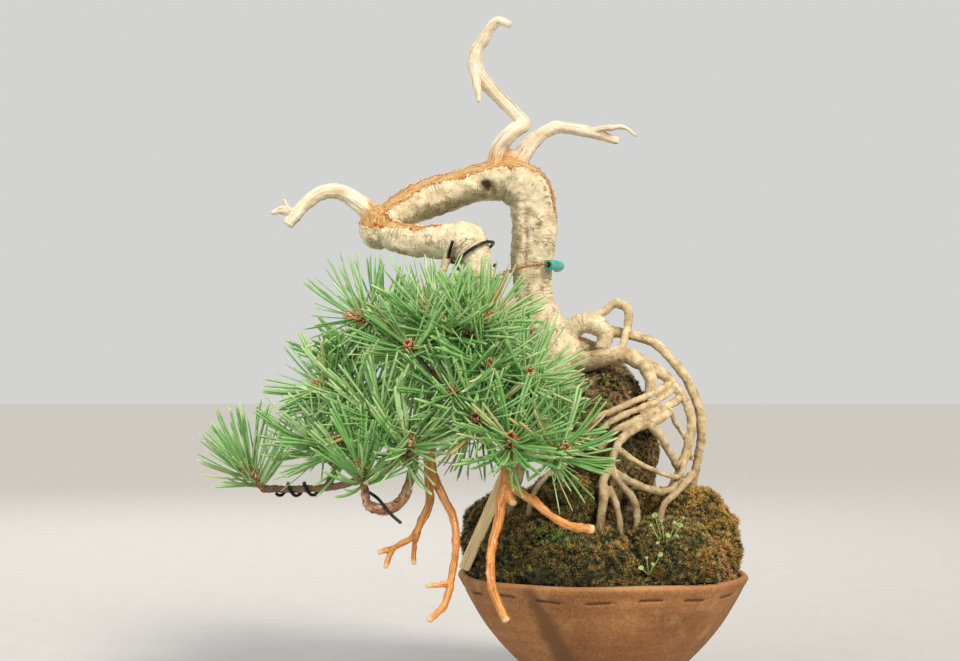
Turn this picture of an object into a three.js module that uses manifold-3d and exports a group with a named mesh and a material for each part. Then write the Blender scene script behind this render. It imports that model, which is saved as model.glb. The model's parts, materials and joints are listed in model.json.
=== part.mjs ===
// A pine bonsai with exposed roots, in a round unglazed clay bowl.
//
// Millimetres, +Z up. The origin is the middle of the flat underside of the
// bowl's foot, and the front of the tree faces -Y. The live branch hangs to
// the left (-X) and towards the front.

import * as THREE from 'three';
import { mergeVertices } from 'three/addons/utils/BufferGeometryUtils.js';
import Module from 'manifold-3d';

const wasm = await Module();
wasm.setup();

// ---------------------------------------------------------------------------
// Driving dimensions
// ---------------------------------------------------------------------------

const POT_HEIGHT = 86;
const RIM_RADIUS = 101;
const POT_WALL = 6;
const POT_SIDES = 28;
const FOOT_RADIUS = 44;
const FOOT_HEIGHT = 6;
const FLOOR_THICKNESS = 8;
const DRAIN_HOLES = 3;
const DRAIN_RADIUS = 6;
const DRAIN_OFFSET = 24;
const NOTCH_WIDTH = 8;
const NOTCH_DEPTH = 4;

const MOUND_RISE = 56;
const FRONT_DROP = 26;
const SOIL_EDGE = 84;
const BALL_CENTRE = [2, 5, 170];
const BALL_RADII = [39, 33, 61];

const GAP = 0.3;
const NEEDLE_LENGTH = 44;
const NEEDLE_RADIUS = 0.9;
const NEEDLES_PER_RING = 4;
const NEEDLE_TRIES = 14;
const WIDEST_LEAN = 1.4;
const LEAST_LEAN = 0.5;
const USUAL_LIFT = 0.15;
const SHOOT_LENGTH = 26;
const SHOOT_RADIUS = 1.9;
const SHOOT_SIDES = 5;
const SHOOT_RINGS = 8;
const BUD_PLACE = 0.86;
const BUD_SWELL = 1.2;
const BUD_TIP_RADIUS = 1.3;
const STAKE_SECTION = [8, 4];
const GUY_WIRE_RADIUS = 0.9;
const TRAINING_WIRE_RADIUS = 1.1;
const SLEEVE_RADIUS = 3.5;
const SLEEVE_BORE = 2.1;
const SLEEVE_STEPS = 4;

// ---------------------------------------------------------------------------
// Routes: each point is [x, y, z, radius]
// ---------------------------------------------------------------------------

const TRUNK = [
  [-24, 6, 200, 13], [-27, 6, 219, 16.5], [-32, 4, 238, 17.6], [-40, 5, 253, 15],
  [-47, 6, 275, 13.2], [-49, 6, 301, 14.6], [-47, 4, 329, 15.8], [-51, 2, 351, 17],
  [-67, 0, 360, 15.8], [-91, -4, 355.5, 13], [-127, -10, 342.5, 13.4], [-152, -16, 330, 10.4],
];
const FOLD = [
  [-152, -20, 321, 10.4], [-138, -28, 315, 10.8], [-122, -33, 313, 11.3],
  [-107, -38, 313, 12.6], [-95, -43, 311.5, 14], [-86, -50, 294, 9.8], [-80, -56, 277, 8.4],
];
// The knuckle that closes the turn between the trunk and the fold.
const HEEL = [
  [-156, -19, 339, 5], [-156, -19, 334, 10.5], [-156, -19, 324, 13.2], [-156, -19, 314, 10.5],
  [-156, -19, 309.5, 5],
];

const ROOTS = {
  knob: [[-28, 4, 250, 8.4], [-14, 2, 258, 7.7], [-4, 2, 257, 7.4], [2, 2, 250, 6.3], [0, 0, 240, 4.9]],
  loop: [[-12, 5, 259, 5.2], [1, 4, 266, 3.2], [10, 2, 272, 3.2], [18, 0, 268, 3.3],
    [18, -3, 256, 3], [13, -9, 240, 2.6]],
  outer: [[-4, 6, 254, 4.9], [20, 4, 250, 3.6], [37, 0, 244, 3.3], [49, -3, 232, 3.3],
    [58, -5, 220, 3.4], [67, -6, 199, 3.5], [69, -6, 183, 3.5], [67, -4, 166, 3.2],
    [64, -2, 150, 2.9], [60, -1, 128, 2.8], [57, 0, 108, 2.4]],
  middle: [[-30, 0, 234, 9], [-12, -6, 231, 7.2], [1, -12, 234, 6.2], [13, -14, 236, 5.6],
    [25, -16, 231, 5.6], [37, -16, 225, 4.5], [47, -16, 217, 3.6], [58, -15, 201, 3.2],
    [61, -15, 186, 3.3], [58, -15, 172, 3.3], [53, -16, 157, 3.2], [46, -19, 143, 3],
    [38, -25, 128, 2.8], [34, -28, 108, 2.4]],
  stub: [[27, -17, 230, 5], [32, -22, 219, 4.4], [31, -25, 208, 3.4]],
  bundle_high: [[47, -16, 217, 2.8], [33, -27, 209, 2.3], [19, -35, 204, 2.2], [5, -41, 198, 2.2],
    [-8, -43, 192, 2.2], [-19, -34, 180, 2.3]],
  bundle_middle: [[49, -15, 213, 2.8], [36, -25, 204, 2.4], [23, -33, 199, 2.3], [9, -41, 193.5, 2.2],
    [-2, -43, 187, 2.1], [-10, -38, 176, 2]],
  bundle_low: [[53, -15, 206, 3.2], [41, -22, 199, 2.7], [29, -31, 195, 2.6], [17, -38, 189.5, 2.5],
    [5, -44, 184, 2.4], [-5, -43, 172, 2.2]],
  down: [[45, -24, 197, 3.2], [35, -31, 190.5, 3.2], [23, -39, 187, 3.1], [13, -44, 181.5, 3],
    [6, -48, 173, 2.8], [3, -50, 160, 2.8], [10, -51, 148, 2.7], [18, -54, 137, 2.6],
    [19, -57, 124, 2.4], [16, -59, 108, 2.2], [13, -58, 94, 2]],
  cross_high: [[7, -49, 172, 2.2], [21, -51, 163, 1.9], [36, -46, 156, 1.8], [50, -30, 153, 2],
    [56, -17, 162, 2]],
  cross_low: [[6, -49, 156, 2.6], [19, -55, 149, 2.5], [33, -52, 144, 2.5], [44, -38, 144, 2.6],
    [51, -22, 150, 2.7]],
  fork: [[62, -4, 152, 3], [56, -26, 149, 2.7], [48, -42, 143, 2.4], [38, -52, 135, 2.3],
    [34, -57, 121, 2.2], [32, -58, 100, 2]],
  prop: [[30, -36, 188, 3], [37, -34, 181, 2.9], [43, -27, 171, 2.8], [49, -20, 162, 2.8],
    [54, -14, 152, 2.6]],
  strand: [[45, -24, 198, 2.2], [50, -17, 188, 1.8], [58, -12, 176, 1.8], [62, -8, 163, 1.9]],
  knot: [[2, -49, 161, 2.8], [-3, -53, 151, 3], [-3, -57, 140, 3], [-5, -60, 126, 2.8],
    [-8, -62, 110, 2.5], [-9, -62, 94, 2.1]],
  knot_twin: [[1, -54, 147, 2.3], [6, -60, 133, 2.2], [8, -63, 119, 2.1], [8, -64, 98, 1.9]],
  front_left: [[-19, -33, 180, 3], [-27, -38, 163, 2.7], [-37, -44, 156, 2.5], [-46, -49, 148, 2.3],
    [-52, -55, 134, 2.2], [-53, -58, 112, 2]],
  left: [[-38, 2, 228, 8], [-49, -6, 208, 5.2], [-53, -16, 184, 4.2], [-58, -24, 158, 3.8],
    [-64, -28, 134, 3.4], [-67, -30, 108, 2.8]],
  left_back: [[-40, 8, 232, 8], [-51, 18, 208, 5], [-52, 30, 182, 4.2], [-56, 38, 156, 3.7],
    [-61, 42, 132, 3.3], [-64, 43, 106, 2.7]],
  back: [[-26, 12, 232, 8.5], [-18, 30, 214, 5.4], [-13, 42, 190, 4.6], [-14, 50, 164, 4],
    [-9, 58, 138, 3.5], [-6, 60, 110, 2.8]],
  back_right: [[-24, 8, 244, 8], [-6, 15, 240, 6], [13, 25, 228, 4.8], [28, 34, 208, 4.2],
    [36, 42, 180, 3.8], [38, 47, 152, 3.4], [42, 50, 126, 3], [42, 50, 106, 2.5]],
};

const LIMBS = {
  main: [[-80, -56, 279, 8.2], [-75, -62, 262, 6.9], [-72, -68, 242, 5.8], [-73, -76, 215, 5],
    [-70, -85, 190, 4.6], [-66, -92, 176, 4.6]],
  left: [[-76, -62, 258, 5.4], [-92, -68, 243, 4.8], [-110, -72, 226, 4.5], [-119, -76, 200, 4.3],
    [-119, -82, 172, 4.8]],
  low_left: [[-118, -75, 208, 3.6], [-127, -80, 181, 3.3], [-130, -87, 157, 3.2], [-136, -93, 141, 3.4],
    [-147, -97, 135, 3.6], [-158, -99, 138, 3.1]],
  far_left: [[-128, -82, 172, 3.1], [-152, -78, 158, 2.8], [-178, -70, 149, 2.6], [-206, -62.5, 146, 2.5],
    [-226, -57, 146, 2.5]],
  middle_left: [[-111, -72, 224, 3.5], [-134, -64, 212, 3.2], [-154, -57, 206, 2.9], [-170, -53, 205, 2.6]],
  high_left: [[-94, -69, 241, 3.5], [-117, -65, 243, 3], [-136, -60, 246, 2.8], [-147, -57, 253, 2.6]],
  back: [[-94, -67, 242, 4], [-102, -44, 234, 3.5], [-113, -18, 222, 3.2], [-127, 6, 212, 2.9]],
  back_left: [[-119, -77, 198, 3.4], [-137, -55, 187, 3.1], [-152, -35, 182, 2.8]],
  back_right: [[-72, -69, 238, 3.8], [-68, -52, 217, 3.2], [-66, -44, 198, 2.8]],
  right_low: [[-71, -84, 194, 3.7], [-58, -86, 175, 3], [-46, -87, 168, 2.7]],
  right_middle: [[-73, -70, 236, 3.5], [-65, -73, 226, 3], [-62, -74, 216, 2.6]],
  dry_twig: [[-106, -40, 306, 3.4], [-110, -55, 292, 2.6], [-112, -62, 279, 2.2]],
};

const DEADWOOD_LEFT = [
  [-146, -14, 333, 8], [-158, -14, 332, 8.2], [-168, -16, 340, 6.6], [-181, -18, 348, 5.6],
  [-194, -20, 348, 5.2], [-206, -22, 339.5, 4.7], [-213, -24, 331, 4.4], [-217.5, -25, 325, 3.9],
];
const DEADWOOD_LEFT_SPUR = [[-212, -24, 333, 3.2], [-221, -26, 335, 2.8], [-228.5, -28, 333, 1.6]];
const DEADWOOD_LEFT_TIP = [[-217, -25, 334, 2.6], [-220, -26, 342.5, 1.3]];
const CROWN_UP = [
  [-75, -4, 364, 7.4], [-72, -8, 380, 6], [-63, -11, 391, 5.6], [-55, -8, 397, 5],
  [-62, -4, 406, 4.6], [-74, 0, 419, 4.7], [-87, 2, 434, 5.6], [-89, 2, 446, 5.2],
  [-83, 0, 458, 4.2], [-73, -4, 470, 3.5], [-64, -8, 467, 2.6],
];
const CROWN_UP_SPUR = [[-89, 1, 440, 4.4], [-88, -7, 426, 3.2], [-86, -13, 412, 1.8]];
const CROWN_RIGHT = [
  [-64, 2, 364, 9], [-52, 6, 382, 5.9], [-42, 8, 392, 4.9], [-32, 10, 397, 4.6],
  [-11, 14, 395, 4.2], [13, 20, 389, 2.8],
];
const CROWN_RIGHT_TWIG = [[-9, 14, 395, 2.6], [6, 13, 397, 2.2], [17, 15, 398, 1.8], [26, 17, 392, 1.2]];
const CROWN_SADDLE = [[-76, -4, 371, 6.5], [-68, 0, 374, 7], [-60, 3, 373, 6.5]];

const STRIPPED_LEFT = {
  long: [[-119, -82, 174, 3.8], [-116, -86, 157, 3.2], [-109, -92, 142, 2.8], [-102, -98, 128, 2.6],
    [-101, -104, 110, 2.4], [-104, -106, 92, 2.4], [-108, -108, 76, 2.4], [-118, -110, 65.5, 2.2]],
  long_stub: [[-104, -106, 88.5, 2.1], [-112, -110, 88.5, 1.8], [-119.5, -111, 88, 1.7]],
  short: [[-119, -81, 172, 3.6], [-119, -79, 153, 2.9], [-118.5, -78, 138, 2.8], [-124, -79, 125, 2.6],
    [-130, -80, 116, 2.2], [-140, -82, 110, 1.9], [-152, -84, 106, 1.7]],
  short_stub: [[-126, -79, 120, 2.2], [-128.5, -77, 109, 1.8], [-129, -75, 98, 1.7]],
  short_fork: [[-141, -82, 110, 1.9], [-145, -82, 103, 1.8], [-147, -82, 96, 1.7]],
};
const STRIPPED_RIGHT = {
  down: [[-66, -92, 177, 4], [-68, -94, 165, 3.7], [-69, -97, 153, 3.8], [-72, -101, 140, 3.5],
    [-73.6, -104, 127, 3.1], [-77.5, -106, 114, 3], [-78.8, -109, 98, 2.8], [-77, -112, 85, 2.8],
    [-68.6, -114, 66, 2.8]],
  across: [[-68, -97, 154, 3.3], [-60, -99, 147, 3], [-50, -104, 140, 2.9], [-40, -107, 132, 2.8],
    [-29, -109, 126, 2.8], [-13, -111, 124, 2.7]],
  side_stub: [[-69, -98, 148, 3.1], [-66, -101, 142, 2.6], [-63.5, -103, 139, 2.3]],
};

const STAKE_FOOT = [-96, -24, 89.6];
const STAKE_HEAD = [-62, -81, 172];

// The wire is tied round the branch, runs to the trunk and passes round its back.
const GUY_WIRE = [
  [-71.6, -53.6, 286], [-76.6, -63.5, 286.5], [-89, -63.5, 287], [-97, -53, 287.5], [-91, -40.5, 288],
  [-80, -32, 289], [-69, -6, 292], [-67, 11, 294], [-57, 23.5, 296], [-42, 24, 297], [-32, 16, 298],
  [-29.8, 3, 298.5], [-36, -9, 298.5], [-46, -22, 297.5], [-60, -41, 294], [-69.6, -53, 291],
];
const GUY_ROUTE = GUY_WIRE.map((point) => [...point, GUY_WIRE_RADIUS]);
const SLEEVE_SPAN = [0.66, 0.785];

const SEEDLINGS = {
  seedling_right: {
    root: [36, -78, 106],
    leaves: [[29, -80, 130], [45, -84, 124], [36, -92, 118]],
  },
  seedling_front: {
    root: [24, -88, 92],
    leaves: [[31, -96, 106], [18, -100, 98]],
  },
};

// Each moss cushion: middle, radii and its colour. Every one lies against those listed before it.
const MOSS = {
  moss_front: { middle: [-14, -60, 93], radii: [50, 37, 29], colour: '#5d5a2c' },
  moss_front_right: { middle: [40, -56, 96], radii: [40, 39, 31], colour: '#66602e' },
  moss_right: { middle: [55, -12, 102], radii: [44, 42, 42], colour: '#8a6f2c' },
  moss_right_back: { middle: [48, 42, 100], radii: [46, 44, 40], colour: '#77682c' },
  moss_left_front: { middle: [-52, -43, 100], radii: [31, 37, 34], colour: '#55522a' },
  moss_left: { middle: [-60, -2, 104], radii: [39, 42, 39], colour: '#6d6230' },
  moss_left_back: { middle: [-52, 44, 102], radii: [44, 42, 37], colour: '#60592c' },
  moss_back: { middle: [2, 60, 100], radii: [50, 38, 36], colour: '#5b5a2c' },
  moss_upper_front: { middle: [-30, -40, 132], radii: [30, 24, 23], colour: '#3f4a22' },
};

// Each spray of needles: where its shoot starts, the way it points, and how strongly its needles
// turn up.
const SPRAYS = [
  { base: [-231, -56, 147], aim: [-0.35, -0.75, 0.55], lift: 0.5 },
  { base: [-160, -101, 150], aim: [-0.05, -0.75, 0.65], lift: 0.35 },
  { base: [-176, -51, 205], aim: [-0.7, -0.55, 0.4] },
  { base: [-149, -58, 256], aim: [-0.8, -0.5, 0.2] },
  { base: [-126, -80, 232], aim: [-0.2, -0.9, 0.35] },
  { base: [-98, -81, 240], aim: [0.35, -0.75, 0.55] },
  { base: [-60, -77, 212], aim: [0.25, -0.85, 0.4] },
  { base: [-66, -100, 172.5], aim: [0, -0.9, 0.4] },
  { base: [-42, -88, 167], aim: [0.4, -0.8, 0.3] },
  { base: [-171, -77, 165], aim: [-0.5, -0.55, 0.6] },
  { base: [-134, -96, 168], aim: [0.15, -0.8, 0.4] },
  { base: [-161, -66, 200], aim: [-0.35, -0.75, 0.5] },
  { base: [-146, -90, 186], aim: [-0.2, -0.85, 0.45] },
  { base: [-117, -71, 247], aim: [-0.15, -0.6, 0.7] },
  { base: [-140, -48, 234], aim: [-0.3, 0.1, 0.95] },
  { base: [-91, -75, 247], aim: [0.45, -0.7, 0.45] },
  { base: [-101, -89, 203], aim: [-0.1, -0.9, 0.35] },
  { base: [-85, -92, 190], aim: [-0.1, -0.95, 0.2] },
  { base: [-58, -76, 178], aim: [0.55, -0.65, 0.3] },
  { base: [-186, -62, 166], aim: [-0.45, -0.6, 0.6] },
  { base: [-159, -42, 220], aim: [-0.7, 0, 0.6] },
  { base: [-108, -82, 239], aim: [-0.05, -0.7, 0.6] },
  { base: [-60, -62, 198], aim: [0.3, -0.7, 0.55] },
  { base: [-84, -88, 220], aim: [0.15, -0.9, 0.35] },
  { base: [-130, -22, 232], aim: [-0.3, 0.6, 0.7] },
  { base: [-106, -4, 210], aim: [0.5, 0.8, 0.1] },
  { base: [-154, -32, 182], aim: [-0.6, 0.6, 0.3] },
  { base: [-88, -50, 190], aim: [-0.3, 0.8, -0.1] },
  { base: [-128.5, 8, 212], aim: [-0.3, 0.85, 0.4] },
  { base: [-98, -24, 236], aim: [0, 0.8, 0.5] },
  { base: [-65, -42, 194], aim: [0.3, 0.6, 0.1] },
];

// ---------------------------------------------------------------------------
// Small helpers
// ---------------------------------------------------------------------------

const vector = ([x, y, z]) => new THREE.Vector3(x, y, z);
const UP = vector([0, 0, 1]);

// A repeatable random number between 0 and 1.
function randomFrom(seed) {
  let state = seed;
  return () => {
    state = (state + 0x6d2b79f5) | 0;
    let mixed = Math.imul(state ^ (state >>> 15), 1 | state);
    mixed = (mixed + Math.imul(mixed ^ (mixed >>> 7), 61 | mixed)) ^ mixed;
    return ((mixed ^ (mixed >>> 14)) >>> 0) / 4294967296;
  };
}

// A closed geometry becomes a solid that can be joined and cut.
function solidOf(geometry) {
  geometry.deleteAttribute('normal');
  geometry.deleteAttribute('uv');
  const merged = mergeVertices(geometry, 1e-4);
  const corners = merged.index.array;
  const triangles = [];
  for (let i = 0; i < corners.length; i += 3) {
    const [a, b, c] = [corners[i], corners[i + 1], corners[i + 2]];
    if (a !== b && b !== c && c !== a) triangles.push(a, b, c);
  }
  return new wasm.Manifold(new wasm.Mesh({
    numProp: 3,
    vertProperties: new Float32Array(merged.attributes.position.array),
    triVerts: new Uint32Array(triangles),
  }));
}

function meshOf(name, solid, { colour, roughness = 0.9, metalness = 0 }) {
  const result = solid.getMesh();
  const geometry = new THREE.BufferGeometry();
  geometry.setAttribute('position', new THREE.BufferAttribute(result.vertProperties, 3));
  geometry.setIndex(new THREE.BufferAttribute(result.triVerts, 1));
  geometry.computeVertexNormals();
  const material = new THREE.MeshStandardMaterial({ color: colour, roughness, metalness });
  const mesh = new THREE.Mesh(geometry, material);
  mesh.name = name;
  return mesh;
}

const joined = (solids) => solids.reduce((all, next) => all.add(next));

// The biggest body of a solid, without the scraps that a cut leaves.
function biggest(solid) {
  const bodies = solid.decompose();
  return bodies.reduce((best, body) => (body.volume() > best.volume() ? body : best));
}

const curveOf = (route) => new THREE.CatmullRomCurve3(route.map(vector));

function radiusAlong(route, t) {
  const place = Math.min(Math.max(t, 0), 1) * (route.length - 1);
  const before = Math.min(Math.floor(place), route.length - 2);
  return THREE.MathUtils.lerp(route[before][3], route[before + 1][3], place - before);
}

// A rounded limb along a route: a closed cylinder bent onto the curve. grow makes it fatter
// and longer all round, for the hole that it stands in; flute gives it three shallow lobes.
function limb(route, { sides = 5, perSpan = 1, grow = 0, flute = 0 } = {}) {
  const curve = curveOf(route);
  const rings = (route.length - 1) * perSpan;
  const frames = curve.computeFrenetFrames(rings);
  const geometry = new THREE.CylinderGeometry(1, 1, 1, sides, rings);
  const place = geometry.attributes.position;
  for (let i = 0; i < place.count; i += 1) {
    const x = place.getX(i);
    const z = place.getZ(i);
    const ring = Math.round((0.5 - place.getY(i)) * rings);
    const u = ring / rings;
    const lobes = 1 + flute * Math.sin(3 * Math.atan2(z, x) + 4 * u);
    const radius = radiusAlong(route, curve.getUtoTmapping(u)) * lobes + grow;
    const point = curve.getPointAt(u);
    if (ring === 0) point.addScaledVector(frames.tangents[0], -grow);
    if (ring === rings) point.addScaledVector(frames.tangents[rings], grow);
    point.addScaledVector(frames.normals[ring], x * radius);
    point.addScaledVector(frames.binormals[ring], z * radius);
    place.setXYZ(i, point.x, point.y, point.z);
  }
  return solidOf(geometry);
}

const limbs = (routes, options) => joined(Object.values(routes).map((route) => limb(route, options)));

// A lump: a sphere stretched to three radii, with a gently uneven surface.
function lump(middle, radii, { around = 12, down = 6, uneven = 0.05, phase = 0, grow = 0 } = {}) {
  const geometry = new THREE.SphereGeometry(1, around, down);
  const place = geometry.attributes.position;
  for (let i = 0; i < place.count; i += 1) {
    const [x, y, z] = [place.getX(i), place.getZ(i), place.getY(i)];
    const waves = Math.sin(3.1 * x + 2.3 * y + phase) + Math.sin(4.3 * y - 2.7 * z + 2 * phase);
    const swell = 1 + uneven * waves;
    place.setXYZ(
      i,
      middle[0] - x * (radii[0] * swell + grow),
      middle[1] + y * (radii[1] * swell + grow),
      middle[2] + z * (radii[2] * swell + grow),
    );
  }
  return solidOf(geometry);
}

// ---------------------------------------------------------------------------
// Bowl
// ---------------------------------------------------------------------------

// Outside of the bowl from the foot to the rim: [radius, height].
const BOWL_OUTSIDE = [
  [FOOT_RADIUS, 0], [FOOT_RADIUS + 1, FOOT_HEIGHT], [49, 15], [60, 24.5],
  [72, 37], [83, 51], [92, 66], [RIM_RADIUS - 1.6, 80],
];

function bowlSection(grow) {
  const outside = BOWL_OUTSIDE.map(([r, z]) => [r + grow, z === 0 ? -grow : z]);
  const rim = [[RIM_RADIUS + grow, POT_HEIGHT - 1.5], [RIM_RADIUS - POT_WALL / 2, POT_HEIGHT + grow]];
  return [...outside, ...rim, ...cavitySection(-grow)];
}

// Inside of the bowl from the rim down to the axis.
function cavitySection(grow) {
  const floor = FOOT_HEIGHT + FLOOR_THICKNESS - grow;
  const wall = BOWL_OUTSIDE.slice(4).reverse().map(([r, z]) => [r - POT_WALL + grow, z + 2]);
  return [...wall, [44 + grow, floor + 6], [34, floor], [0, floor]];
}

function bowl(grow = 0) {
  const section = [[0, grow ? -grow : 0], ...bowlSection(grow)];
  const points = section.map(([r, z]) => new THREE.Vector2(r, z));
  const turned = new THREE.LatheGeometry(points, POT_SIDES);
  turned.rotateX(Math.PI / 2);
  let solid = solidOf(turned);
  for (let i = 0; i < DRAIN_HOLES; i += 1) {
    const angle = Math.PI / 2 + (i * 2 * Math.PI) / DRAIN_HOLES;
    solid = solid.subtract(drainHole(angle)).subtract(footNotch(angle));
  }
  return solid;
}

function drainHole(angle) {
  const depth = 4 * FLOOR_THICKNESS;
  const hole = new THREE.CylinderGeometry(DRAIN_RADIUS, DRAIN_RADIUS, depth, 16);
  hole.rotateX(Math.PI / 2);
  hole.translate(DRAIN_OFFSET * Math.cos(angle), DRAIN_OFFSET * Math.sin(angle), 0);
  return solidOf(hole);
}

function footNotch(angle) {
  const reach = 1.5 * FOOT_RADIUS;
  const notch = new THREE.BoxGeometry(reach, NOTCH_WIDTH, 2 * NOTCH_DEPTH);
  notch.translate(DRAIN_OFFSET + reach / 2, 0, 0);
  notch.rotateZ(angle);
  return solidOf(notch);
}

// ---------------------------------------------------------------------------
// Soil and moss
// ---------------------------------------------------------------------------

// Height of the soil's mound: lower in front, where the roots go down.
function moundHeight(x, y) {
  const edge = RIM_RADIUS - POT_WALL;
  const out = Math.min(Math.hypot(x, y) / edge, 1);
  const front = Math.max(-y / Math.max(Math.hypot(x, y), 1), 0) ** 2;
  const rise = (MOUND_RISE - FRONT_DROP * front) * (1 - out ** 2.6) ** 0.75;
  return SOIL_EDGE + rise;
}

// The fill of the bowl: its underside follows the cavity, its top is the mound.
function fill(grow) {
  const inside = cavitySection(-GAP).filter(([, z]) => z < SOIL_EDGE).reverse();
  const edge = inside[inside.length - 1][0];
  const topRings = 5;
  const top = [];
  for (let i = 0; i <= topRings; i += 1) top.push([edge * (1 - i / topRings), SOIL_EDGE + i]);
  const points = [...inside, ...top].map(([r, z]) => new THREE.Vector2(r, z));
  const geometry = new THREE.LatheGeometry(points, POT_SIDES / 2);
  geometry.rotateX(Math.PI / 2);
  const place = geometry.attributes.position;
  for (let i = 0; i < place.count; i += 1) {
    if (place.getZ(i) < SOIL_EDGE) continue;
    place.setZ(i, moundHeight(place.getX(i), place.getY(i)) + grow);
  }
  return solidOf(geometry);
}

// The old root ball stands up out of the mound and carries the foot of the trunk.
const rootBall = (grow) => lump(BALL_CENTRE, BALL_RADII, { uneven: 0.035, phase: 1, grow });

const soilShape = (grow = 0) => fill(grow).add(rootBall(grow));

// The moss lies above this level, and doesn't run down between the soil and the bowl.
function mossFloor() {
  const level = SOIL_EDGE + GAP;
  const slab = new THREE.CylinderGeometry(1.5 * RIM_RADIUS, 1.5 * RIM_RADIUS, level, 8);
  slab.rotateX(Math.PI / 2);
  slab.translate(0, 0, level / 2);
  return solidOf(slab);
}

function mossCushions(cutters) {
  const cushions = {};
  const names = Object.keys(MOSS);
  names.forEach((name, index) => {
    const { middle, radii } = MOSS[name];
    let cushion = lump(middle, radii, { phase: index });
    for (const cutter of cutters) cushion = cushion.subtract(cutter);
    names.slice(0, index).forEach((earlier, place) => {
      const neighbour = lump(MOSS[earlier].middle, MOSS[earlier].radii, { phase: place, grow: GAP });
      cushion = cushion.subtract(neighbour);
    });
    cushions[name] = biggest(cushion);
  });
  return cushions;
}

// ---------------------------------------------------------------------------
// Wood
// ---------------------------------------------------------------------------

const trunkShape = (grow = 0) => limb(TRUNK, { sides: 12, perSpan: 2, flute: 0.05, grow });
const foldShape = (grow = 0) => limb(FOLD, { sides: 10, perSpan: 2, flute: 0.04, grow });

// The stem that joins a spray to the nearest point of the live branches.
function twigRoute({ base, aim }) {
  const start = vector(base);
  const forward = vector(aim).normalize();
  let nearest = null;
  for (const route of Object.values(LIMBS)) {
    const curve = curveOf(route);
    for (const point of curve.getSpacedPoints(40)) {
      if (!nearest || point.distanceTo(start) < nearest.distanceTo(start)) nearest = point;
    }
  }
  const end = start.clone().addScaledVector(forward, -GAP);
  const reach = Math.min(nearest.distanceTo(start) / 2, 9);
  const before = end.clone().addScaledVector(forward, -reach);
  return [[...nearest, 2.6], [...before, 2.5], [...end, 2.3]];
}

// ---------------------------------------------------------------------------
// Needles
// ---------------------------------------------------------------------------

// Straight pieces of a route, each with its thickness, for keeping needles clear.
function bonesOf(route, owner) {
  const points = curveOf(route).getPoints((route.length - 1) * 3);
  return points.slice(1).map((end, i) => {
    const radius = radiusAlong(route, (i + 0.5) / (points.length - 1)) * 1.08;
    return { start: points[i], end, owner, radius };
  });
}

// Least distance between two straight pieces.
function distanceBetween(a, b) {
  const alongA = a.end.clone().sub(a.start);
  const alongB = b.end.clone().sub(b.start);
  const apart = a.start.clone().sub(b.start);
  const [aa, bb, ab] = [alongA.dot(alongA), alongB.dot(alongB), alongA.dot(alongB)];
  const [onA, onB] = [alongA.dot(apart), alongB.dot(apart)];
  const spread = aa * bb - ab * ab;
  const first = spread > 1e-9 ? THREE.MathUtils.clamp((ab * onB - onA * bb) / spread, 0, 1) : 0;
  const t = THREE.MathUtils.clamp((ab * first + onB) / bb, 0, 1);
  const s = THREE.MathUtils.clamp((ab * t - onA) / aa, 0, 1);
  return a.start.clone().addScaledVector(alongA, s)
    .distanceTo(b.start.clone().addScaledVector(alongB, t));
}

const insideLump = (point, { middle, radii }, margin) => Math.hypot(
  (point.x - middle[0]) / (radii[0] + margin),
  (point.y - middle[1]) / (radii[1] + margin),
  (point.z - middle[2]) / (radii[2] + margin),
) < 1;

// True where a point is in or near the bowl, the soil or the moss.
function nearGround(point) {
  if (Math.hypot(point.x, point.y) > RIM_RADIUS + 8) return point.z < 4;
  const lumps = [{ middle: BALL_CENTRE, radii: BALL_RADII }, ...Object.values(MOSS)];
  return lumps.some((each) => insideLump(point, each, 5)) || point.z < moundHeight(point.x, point.y) + 4;
}

// The frame of a shoot: forward along it, and two directions across.
function shootFrame({ base, aim, lift = USUAL_LIFT }) {
  const forward = vector(aim).normalize();
  const side = UP.clone().cross(forward).normalize();
  return { start: vector(base), forward, side, up: forward.clone().cross(side), lift };
}

// Corners of the shoot: staggered rings round its line, thicker at the bud.
function shootCorners(frame) {
  const corners = [frame.start.clone()];
  for (let ring = 0; ring <= SHOOT_RINGS; ring += 1) {
    const along = ring / SHOOT_RINGS;
    const swell = BUD_SWELL * Math.exp(-(((along - BUD_PLACE) / 0.12) ** 2));
    const radius = ring === SHOOT_RINGS ? BUD_TIP_RADIUS : SHOOT_RADIUS + swell;
    for (let i = 0; i < SHOOT_SIDES; i += 1) {
      const angle = ((i + (ring % 2) / 2) * 2 * Math.PI) / SHOOT_SIDES;
      corners.push(frame.start.clone()
        .addScaledVector(frame.forward, SHOOT_LENGTH * along)
        .addScaledVector(frame.side, radius * Math.cos(angle))
        .addScaledVector(frame.up, radius * Math.sin(angle)));
    }
  }
  corners.push(frame.start.clone().addScaledVector(frame.forward, SHOOT_LENGTH + BUD_TIP_RADIUS));
  return corners;
}

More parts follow.
